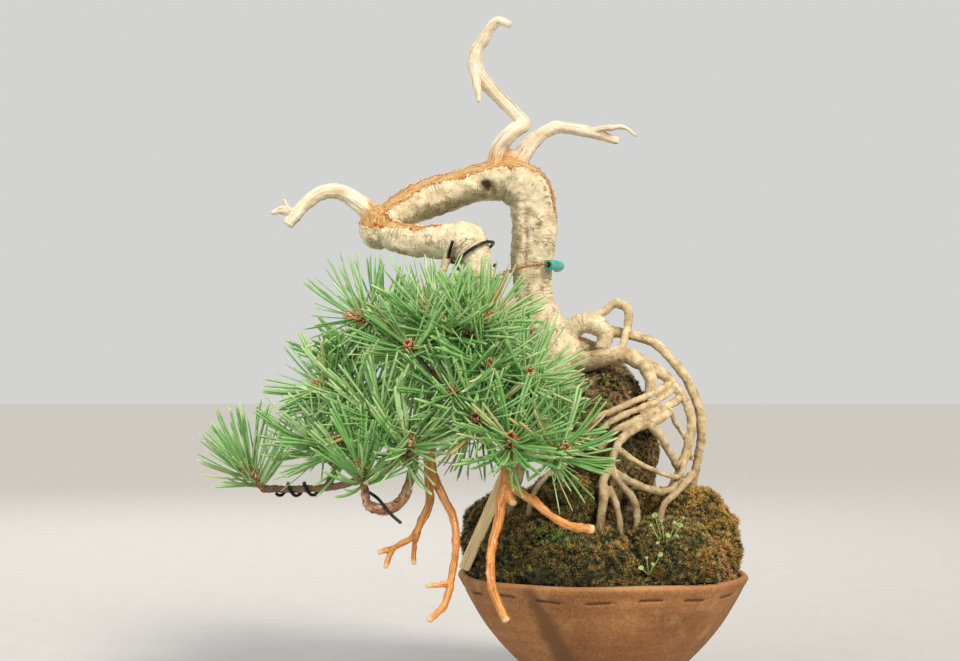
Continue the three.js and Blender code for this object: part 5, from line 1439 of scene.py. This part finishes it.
def needle_pair():
    """Two half-round needles from one sheath, pointing up along z, with blunt tips."""
    points, faces, tips = [], [], []
    for side in (-1, 1):
        start = len(points)
        for u in NEEDLE_PLACES:
            wide = NEEDLE_HALF_WIDTH * min(1, 0.6 + 4 * u) * max(1 - u ** 22, 0.03) ** 0.5
            deep = NEEDLE_HALF_DEPTH * wide / NEEDLE_HALF_WIDTH
            middle = np.array([side * (0.55 + 4.2 * u ** 1.3), 4.5 * u * u, NEEDLE_LENGTH * u])
            for x, y in ((0, -wide), (side * deep, 0), (0, wide), (-side * 0.4 * deep, 0)):
                points.append(middle + (x, y, 0))
                tips.append(u)
        last = 4 * (len(NEEDLE_PLACES) - 1)
        sheets = bands(len(NEEDLE_PLACES), 4) + [(3, 2, 1, 0), (last, last + 1, last + 2, last + 3)]
        faces += [tuple(start + c for c in (sheet if side > 0 else sheet[::-1])) for sheet in sheets]
    return mesh_of("needle_pair", points, faces, {"tip": tips})


def bud_scale():
    """A thin pointed scale, hollow towards the bud."""
    rows = [(0.0, 0.9, 0.0), (1.2, 1.05, 0.3), (2.4, 0.65, 0.2), (SCALE_LENGTH, 0.05, 0.15)]
    points, tips = [], []
    for z, wide, out in rows:
        points += [(-wide, out - 0.3, z), (0, out + 0.25, z), (wide, out - 0.3, z), (0, out - 0.25, z)]
        tips += [z / SCALE_LENGTH] * 4
    faces = [(b, a, d, c) for a, b, c, d in bands(len(rows), 4)] + [(0, 1, 2, 3), (15, 14, 13, 12)]
    return mesh_of("bud_scale", points, faces, {"tip": tips})


pair_model = new_object("needle_pair", needle_pair())
scale_model = new_object("bud_scale", bud_scale())
print("faces of a needle pair and of a scale:", len(pair_model.data.polygons), len(scale_model.data.polygons))

# %% Spiral rule
spiral, given, result = node_rule("spiral on a shoot", [
    ("Model", "Object", None), ("Count", "Int", 20), ("Start", "Vector", (0, 0, 0)),
    ("Aim", "Vector", (0, 0, 1)), ("Length", "Float", 20.0), ("Foot Radius", "Float", 1.5),
    ("Tip Radius", "Float", 0.5), ("Foot Lean", "Float", 1.4), ("Tip Lean", "Float", 0.4),
    ("Unevenness", "Float", 0.3), ("Lift", "Float", 0.0), ("Bend", "Float", 0.0),
    ("Least Size", "Float", 0.9), ("Most Size", "Float", 1.05), ("Roll", "Float", 2 * math.pi),
    ("Seed", "Int", 1), ("Finish", "Material", None)])


def chance(low, high, shift):
    """A random number for each point, drawn with the rule's seed moved on by a shift."""
    seed = add(spiral, "ShaderNodeMath", {0: given["Seed"], 1: float(shift)}, operation="ADD")
    return add(spiral, "FunctionNodeRandomValue", {"Min": low, "Max": high, "Seed": seed}, data_type="FLOAT")


def added(start, *parts):
    """A vector with other vectors added to it, each stretched by a number."""
    for way, length in parts:
        part = add(spiral, "ShaderNodeVectorMath", {0: way, "Scale": length}, operation="SCALE")
        start = add(spiral, "ShaderNodeVectorMath", {0: start, 1: part}, operation="ADD")
    return start


# %% Places on the spiral
# The point's number gives its share of the way up and its turn round the shoot.
number = add(spiral, "GeometryNodeInputIndex")
share = add(spiral, "ShaderNodeMath", {0: number, 1: 0.5}, operation="ADD")
share = add(spiral, "ShaderNodeMath", {0: share, 1: given["Count"]}, operation="DIVIDE")
around = add(spiral, "ShaderNodeMath", {0: number, 1: GOLDEN_ANGLE, 2: chance(-0.3, 0.3, 1)},
             operation="MULTIPLY_ADD")
aim = add(spiral, "ShaderNodeVectorMath", {0: given["Aim"]}, operation="NORMALIZE")
side = add(spiral, "ShaderNodeVectorMath", {0: (0.0, 0.0, 1.0), 1: aim}, operation="CROSS_PRODUCT")
side = add(spiral, "ShaderNodeVectorMath", {0: side}, operation="NORMALIZE")
up = add(spiral, "ShaderNodeVectorMath", {0: aim, 1: side}, operation="CROSS_PRODUCT")
outward = added((0.0, 0.0, 0.0), (side, add(spiral, "ShaderNodeMath", {0: around}, operation="COSINE")),
                (up, add(spiral, "ShaderNodeMath", {0: around}, operation="SINE")))

# %% Directions on the spiral
# A copy leans out from the shoot, most at the foot, and turns up to the light.
lean = add(spiral, "ShaderNodeMapRange", {"Value": share, "To Min": given["Foot Lean"],
                                          "To Max": given["Tip Lean"]})
lean = add(spiral, "ShaderNodeMath", {0: given["Unevenness"], 1: chance(-1.0, 1.0, 2), 2: lean},
           operation="MULTIPLY_ADD")
way = added((0.0, 0.0, 0.0), (aim, add(spiral, "ShaderNodeMath", {0: lean}, operation="COSINE")),
            (outward, add(spiral, "ShaderNodeMath", {0: lean}, operation="SINE")),
            ((0.0, 0.0, 1.0), given["Lift"]))
off = add(spiral, "ShaderNodeMapRange", {"Value": share, "To Min": given["Foot Radius"],
                                         "To Max": given["Tip Radius"]})
along = add(spiral, "ShaderNodeMath", {0: share, 1: given["Length"]}, operation="MULTIPLY")
place = added(given["Start"], (aim, along), (outward, off))
place = add(spiral, "ShaderNodeVectorMath", {0: place, "Scale": MM}, operation="SCALE")
spots = add(spiral, "GeometryNodePoints", {"Count": given["Count"], "Position": place})
turned = add(spiral, "FunctionNodeAlignRotationToVector", {"Vector": way}, axis="Z")
turned = add(spiral, "FunctionNodeAlignRotationToVector", {"Rotation": turned, "Vector": outward},
             axis="Y", pivot_axis="Z")
roll = add(spiral, "ShaderNodeMath", {0: given["Roll"], 1: chance(-0.5, 0.5, 3)}, operation="MULTIPLY")
spin = add(spiral, "FunctionNodeAxisAngleToRotation", {"Axis": (0.0, 0.0, 1.0), "Angle": roll})
turned = add(spiral, "FunctionNodeRotateRotation", {"Rotation": turned, "Rotate By": spin},
             rotation_space="LOCAL")

# %% Copies on the spiral
# Copies go there as instances, and are made real before the bend.
model = add(spiral, "GeometryNodeObjectInfo", {"Object": given["Model"]}, output="Geometry")
placed = add(spiral, "GeometryNodeInstanceOnPoints", {
    "Points": spots, "Instance": model, "Rotation": turned,
    "Scale": chance(given["Least Size"], given["Most Size"], 4)})
placed = add(spiral, "GeometryNodeStoreNamedAttribute", {
    "Geometry": placed, "Name": "tone", "Value": chance(0.0, 1.0, 5)}, data_type="FLOAT", domain="INSTANCE")
whole = add(spiral, "GeometryNodeRealizeInstances", {"Geometry": placed})
tip = add(spiral, "GeometryNodeInputNamedAttribute", {"Name": "tip"}, data_type="FLOAT")
rise = add(spiral, "ShaderNodeMath", {0: tip, 1: 2.0}, operation="POWER")
rise = add(spiral, "ShaderNodeMath", {0: rise, 1: given["Bend"]}, operation="MULTIPLY")
rise = add(spiral, "ShaderNodeMath", {0: rise, 1: MM}, operation="MULTIPLY")
rise = add(spiral, "ShaderNodeCombineXYZ", {"Z": rise})
whole = add(spiral, "GeometryNodeSetPosition", {"Geometry": whole, "Offset": rise})
whole = add(spiral, "GeometryNodeSetMaterial", {"Geometry": whole, "Material": given["Finish"]})
joined = add(spiral, "GeometryNodeJoinGeometry", {"Geometry": whole})
spiral.links.new(given["Geometry"], joined.node.inputs["Geometry"])
spiral.links.new(joined, result["Geometry"])
print("spiral inputs:", len(given) - 1, "nodes:", len(spiral.nodes))

# %% [markdown]
# Pine needles have a thick wax skin: fresh mid green, with a soft satin gleam,
# paler towards the blunt tip and straw at the sheath. A few old ones have dried.
# The scales of the bud are papery and red-brown with pale fringes.

# %% Needle and bud materials
needle_skin, tree, shader = material_called("waxy pine needle", 0.45)
tone = add(tree, "ShaderNodeAttribute", output="Fac", attribute_name="tone")
tip = add(tree, "ShaderNodeAttribute", output="Fac", attribute_name="tip")
green = add(tree, "ShaderNodeValToRGB", {"Fac": tone}, stops=[
    (0.0, "#6EA858"), (0.35, "#8CC070"), (0.7, "#A8D488"), (0.93, "#C0E2A0"), (0.98, "#CDC88A"),
    (0.993, "#CBA870")])
sheath = add(tree, "ShaderNodeMapRange", {"Value": tip, "From Min": 0.03, "From Max": 0.12,
                                          "To Min": 0.75, "To Max": 0.0})
green = add(tree, "ShaderNodeMix", {"Factor": sheath, "A": green, "B": "#BE9A62"}, **BLEND)
pale_tip = add(tree, "ShaderNodeMapRange", {"Value": tip, "From Min": 0.9, "From Max": 1.0, "To Max": 0.7})
green = add(tree, "ShaderNodeMix", {"Factor": pale_tip, "A": green, "B": "#CBD3A0"}, **BLEND)
where = add(tree, "ShaderNodeTexCoord", output="Object")
fleck = add(tree, "ShaderNodeTexNoise", {"Vector": where, "Scale": 150.0, "Detail": 3.0})
fleck = add(tree, "ShaderNodeValToRGB", {"Fac": fleck}, stops=[(0.35, "#AFBFA6"), (0.65, "#FFFFFF")])
green = add(tree, "ShaderNodeMix", {"Factor": 0.45, "A": green, "B": fleck}, **SHADE)
tree.links.new(green, shader.inputs["Base Color"])

papery, tree, shader = material_called("papery bud scales", 0.7)
tone = add(tree, "ShaderNodeAttribute", output="Fac", attribute_name="tone")
tip = add(tree, "ShaderNodeAttribute", output="Fac", attribute_name="tip")
brown = add(tree, "ShaderNodeValToRGB", {"Fac": tone}, stops=[
    (0.0, "#BE724A"), (0.5, "#DE9868"), (0.85, "#ECBE92"), (1.0, "#F6DEBC")])
fringe = add(tree, "ShaderNodeMapRange", {"Value": tip, "From Min": 0.6, "From Max": 1.0, "To Max": 0.5})
brown = add(tree, "ShaderNodeMix", {"Factor": fringe, "A": brown, "B": "#E3CDA6"}, **BLEND)
tree.links.new(brown, shader.inputs["Base Color"])

SCALY_TONES = [(0.3, "#5A3822"), (0.55, "#A0704A"), (0.75, "#C9A074")]
shoot_bark = mottled_material("scaly shoot bark", 0.85, 700.0, SCALY_TONES, detail=4.0, contrast=0.7)
print("needle and bud finishes:", needle_skin.name, "/", papery.name, "/", shoot_bark.name)

# %% Needle sprays
SHOOT_LENGTH = 26
NEEDLE_ZONE = 18.0
BUD_ZONE = 12
PAIRS = 32
BUD_SCALES = 64
USUAL_LEANS = {"Foot Lean": 1.4, "Tip Lean": 0.75}
FAN_LEANS = {"Foot Lean": 1.25, "Tip Lean": 0.5}


def shoot_stem(start, way):
    """The woody stem under the needles, with a rough surface."""
    reach = np.linspace(0, SHOOT_LENGTH - 3, 14)
    thick = np.linspace(2.3, 2.0, 14) * (1 + 0.12 * np.sin(np.arange(14) * 2.1))
    points, faces = tube(np.column_stack([start + way * reach[:, None], thick]), 9)
    nothing = np.zeros(len(points))
    return mesh_of("stem", points, faces, {"tip": nothing, "tone": nothing})


for number, ((base, aim), lift) in enumerate(zip(SPRAYS, LIFTS)):
    start = np.array(base, float)
    way = unit(np.array(aim, float))
    stem = shoot_stem(start, way)
    stem.materials.append(shoot_bark)
    holder = new_object("shoot", stem)
    shared = {"Aim": tuple(way), "Seed": 50 + number}
    leans = FAN_LEANS if lift > USUAL_LIFT else USUAL_LEANS
    set_modifier(holder, spiral, {
        **shared, **leans, "Model": pair_model, "Count": PAIRS, "Start": tuple(start + way * 2),
        "Length": NEEDLE_ZONE, "Unevenness": 0.2, "Lift": lift, "Bend": 2.0 + 8.0 * lift,
        "Least Size": 0.86, "Most Size": 1.04, "Finish": needle_skin})
    set_modifier(holder, spiral, {
        **shared, "Model": scale_model, "Count": BUD_SCALES, "Length": BUD_ZONE + 0.5,
        "Start": tuple(start + way * (SHOOT_LENGTH - BUD_ZONE)), "Foot Radius": 3.7, "Tip Radius": 1.2,
        "Foot Lean": 0.7, "Tip Lean": 0.15, "Unevenness": 0.25, "Least Size": 1.0, "Most Size": 1.6,
        "Roll": 0.3, "Finish": papery})
    finish_piece(f"spray_{number + 1:02d}", plain_mesh(holder), "needles", [f"needles_{number + 1:02d}"])
for each in (pair_model, scale_model):
    bpy.data.objects.remove(each)

# %% [markdown]
# ## Stake, wires and sleeve
#
# Small made things hold the tree in shape: copper wire twisted double, a piece
# of plastic tube that keeps it off the bark, soft dark aluminium wire wound on
# two branches, and a sawn stick. Each wire follows its own line, so it is made
# as a tube along that line.

# %% Wire routes
GUY_WIRE = [
    (-71.6, -53.6, 286), (-76.6, -63.5, 286.5), (-89, -63.5, 287), (-97, -53, 287.5), (-91, -40.5, 288),
    (-80, -32, 289), (-69, -6, 292), (-67, 11, 294), (-57, 23.5, 296), (-42, 24, 297), (-32, 16, 298),
    (-29.8, 3, 298.5), (-36, -9, 298.5), (-46, -22, 297.5), (-60, -41, 294), (-69.6, -53, 291),
]
SLEEVE_SPAN = (0.66, 0.785)
SLEEVE_RADIUS = 3.5
SLEEVE_BORE = 2.1
WIRE_RADIUS = 1.1
WIRE_TAIL = [(-158, -88, 146), (-151, -97, 142), (-143, -102, 133), (-136, -103, 127)]
print("guy wire:", len(GUY_WIRE), "points round the branch and the trunk")

# %% [markdown]
# Annealed copper is dull pink-brown with bright rubbed spots. Anodised aluminium wire is nearly black, with a
# soft sheen. The soft PVC tube is teal and looks waxy.

# %% Wire and tube materials
copper = mottled_material("annealed copper wire", 0.42, 400.0, [(0.3, "#A25A34"), (0.7, "#D9946A")],
                          Metallic=1.0)
anodised = mottled_material("anodised aluminium wire", 0.38, 330.0, [(0.3, "#15160F"), (0.7, "#302F2A")],
                            Metallic=0.6)
plastic = mottled_material("soft PVC tube", 0.4, 180.0, [(0.3, "#2A8E84"), (0.7, "#58B8A8")])
print("wire and tube finishes:", copper.name, "/", anodised.name, "/", plastic.name)

# %% Copper guy
STRAND_RADIUS = 0.45
STRAND_OFFSET = 0.42
TWIST_STEP = 0.55
guy_line = smooth_line([(*point, 0.9) for point in GUY_WIRE], 0.8)
along, across, third = frames_along(guy_line)
twist = np.arange(len(guy_line)) * TWIST_STEP
strands = []
for phase in (0, math.pi):
    strand = guy_line.copy()
    turned = np.cos(twist + phase)[:, None] * across + np.sin(twist + phase)[:, None] * third
    strand[:, :3] += STRAND_OFFSET * turned
    strand[:, 3] = STRAND_RADIUS
    strands.append(tube(strand, 7))
guy_mesh = mesh_of("copper_guy", *merged(strands))
finish_piece("copper_guy", guy_mesh, "copper_wire", ["guy_wire"], copper)

# %% Sleeve
SLEEVE_SIDES = 28
far = length_along(guy_line)
middle = guy_line[(far > SLEEVE_SPAN[0] * far[-1]) & (far < SLEEVE_SPAN[1] * far[-1])]
along, across, third = frames_along(middle)
turn = np.linspace(0, 2 * math.pi, SLEEVE_SIDES, endpoint=False)
around = np.cos(turn)[None, :, None] * across[:, None] + np.sin(turn)[None, :, None] * third[:, None]
walls = [middle[:, None, :3] + SLEEVE_RADIUS * around, middle[::-1, None, :3] + SLEEVE_BORE * around[::-1]]
wall = np.vstack(walls).reshape(-1, 3)
sleeve_mesh = mesh_of("sleeve", wall, bands(len(wall) // SLEEVE_SIDES, SLEEVE_SIDES, closed=True))
finish_piece("sleeve", sleeve_mesh, "teal_sleeve", ["wire_sleeve"], plastic)


# %% Training wires
def wound(route, start, end, turns):
    """A wire wound round a stem between two shares of its length."""
    line = smooth_line(route, 0.5)
    along, across, third = frames_along(line)
    far = length_along(line)
    steps = int(turns * 30)
    place = np.searchsorted(far, np.linspace(start, end, steps) * far[-1])
    angle = np.linspace(0, 2 * math.pi * turns, steps)
    away = line[place, 3] * 1.12 + WIRE_RADIUS + 0.3
    centre = (line[place, :3] + (away * np.cos(angle))[:, None] * across[place]
              + (away * np.sin(angle))[:, None] * third[place])
    return np.column_stack([centre, np.full(steps, WIRE_RADIUS)])


for name, line in (("training_wire_fold", wound(FOLD, 0.6, 0.82, 1.6)),
                   ("training_wire_branch", wound(LIMBS[3], 0.68, 0.94, 2.4))):
    points, faces = tube(line, 10)
    finish_piece(name + "_wire", mesh_of(name, points, faces), "dark_wire", [name], anodised)
points, faces = tube(smooth_line([(*point, WIRE_RADIUS) for point in WIRE_TAIL], 0.8), 10)
finish_piece("wire_tail", mesh_of("wire_tail", points, faces), "dark_wire", material=anodised)

# %% [markdown]
# The stake is sawn softwood, weathered to straw: straight grain along it, dull,
# with slightly rounded corners.

# %% Stake
STAKE_FOOT = (-96, -24, 89.6)
STAKE_HEAD = (-62, -81, 172)
STAKE_HALF_WIDTH = 4
STAKE_HALF_DEPTH = 2
STAKE_CORNER = 0.6
softwood, tree, shader = material_called("sawn softwood", 0.75)
rays = add(tree, "ShaderNodeTexNoise", {"Vector": wood_place(tree, 0.9, 30), "Scale": 1.0, "Detail": 4.0})
tan = add(tree, "ShaderNodeValToRGB", {"Fac": rays}, stops=[
    (0.3, "#CBAC70"), (0.5, "#E6CE98"), (0.7, "#F2E2B8")])
cover(tree, shader, tan, rays, 0.3, 0.4)

foot = np.array(STAKE_FOOT, float)
axis = unit(np.array(STAKE_HEAD, float) - foot)
across = unit(np.cross((0, 1, 0), axis))
third = np.cross(axis, across)
reach = np.linspace(0, np.linalg.norm(np.array(STAKE_HEAD) - foot), 60)
outline = []
for sx, sy in ((1, 1), (-1, 1), (-1, -1), (1, -1)):
    x, y = sx * STAKE_HALF_WIDTH, sy * STAKE_HALF_DEPTH
    pair = [(x - sx * STAKE_CORNER, y), (x, y - sy * STAKE_CORNER)]
    outline += pair if sx * sy < 0 else pair[::-1]
points, places = [], []
for i, t in enumerate(reach):
    shrink = 0.9 if i in (0, len(reach) - 1) else 1.0
    for x, y in outline:
        size = shrink + 0.03 * noise.noise(Vector((x * 0.4, y * 0.4, t * 0.12)))
        points.append(foot + axis * t + across * x * size + third * y * size)
        places.append((x, y, t))
count = len(outline)
faces = bands(len(reach), count)
faces += [tuple(range(count))[::-1], tuple(range(len(points) - count, len(points)))]
stake_mesh = mesh_of("stake", points, faces, {"straight": places})
finish_piece("stake_stick", stake_mesh, "stake_wood", ["stake"], softwood)

# %% [markdown]
# ## Seedlings
#
# Two tiny weeds grow in the moss: thread-thin bent stalks, each with a soft,
# round, pale green leaf, and a few younger leaves round their foot.

# %% Seedlings
SEEDLINGS = {
    "seedling_right": ((36, -78, 106), [
        (29, -80, 130, 2.2), (45, -84, 124, 1.9), (36, -92, 118, 1.8), (33, -83, 127, 1.5),
        (41, -88, 126, 1.3), (43, -82, 117, 1.2), (30, -88, 113, 1.3), (26, -84, 124, 1.2),
        (47, -86, 129, 1.1)]),
    "seedling_front": ((24, -88, 92), [
        (31, -96, 106, 1.8), (18, -100, 98, 1.8), (26, -97, 100, 1.3), (22, -96, 104, 1.1)]),
}
LEAF_SIDES = 14
leaf_skin = mottled_material("thin young leaf", 0.5, 500.0, [(0.3, "#6E8844"), (0.7, "#A2B878")])


def round_leaf(middle, radius, tilt):
    """A thin round leaf, a little cupped, with a wavy edge."""
    points, faces = [], []
    for rise in (0.25, -0.25):
        for ring in range(1, 4):
            for i in range(LEAF_SIDES):
                a = 2 * math.pi * i / LEAF_SIDES
                r = radius * ring / 3 * (1 + 0.06 * math.sin(5 * a))
                points.append((r * math.cos(a), r * math.sin(a), rise * (ring < 3) + 0.09 * r * r))
        points.append((0, 0, rise))
    half = len(points) // 2
    for start in (0, half):
        for i in range(LEAF_SIDES):
            k = (i + 1) % LEAF_SIDES
            new = [(half - 1, i, k)]
            new += [(row + i, row + LEAF_SIDES + i, row + LEAF_SIDES + k, row + k) for row in (0, LEAF_SIDES)]
            faces += [tuple(start + c for c in (face[::-1] if start else face)) for face in new]
    edge = 2 * LEAF_SIDES
    for i in range(LEAF_SIDES):
        k = (i + 1) % LEAF_SIDES
        faces.append((edge + i, half + edge + i, half + edge + k, edge + k))
    turn = Vector((0, 0, 1)).rotation_difference(Vector(tilt).normalized())
    return [tuple(turn @ Vector(point) + Vector(middle)) for point in points], faces


for name, (root, leaves) in SEEDLINGS.items():
    parts = []
    for i, (*leaf, radius) in enumerate(leaves):
        x, y, z = [(root[k] + leaf[k]) / 2 for k in range(3)]
        stalk = smooth_line([(*root, 0.45), (x, y - 1, z, 0.4), (*leaf, 0.3)], 1.0)
        parts += [tube(stalk, 6), round_leaf(leaf, radius, (0.4 * (i % 3 - 1), -0.8, 0.7))]
    finish_piece(name + "_plant", mesh_of(name, *merged(parts)), "seedling_leaf", [name], leaf_skin)

# %% [markdown]
# ## The whole
#
# The visual model must fill the same space as the solids. Both boxes are worked out and shown at the end.

# %% Finish
print("triangles in all:", sum(finished))
visual_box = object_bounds()
[[list(map(float, corner)) for corner in box] for box in (cad_box, visual_box)]
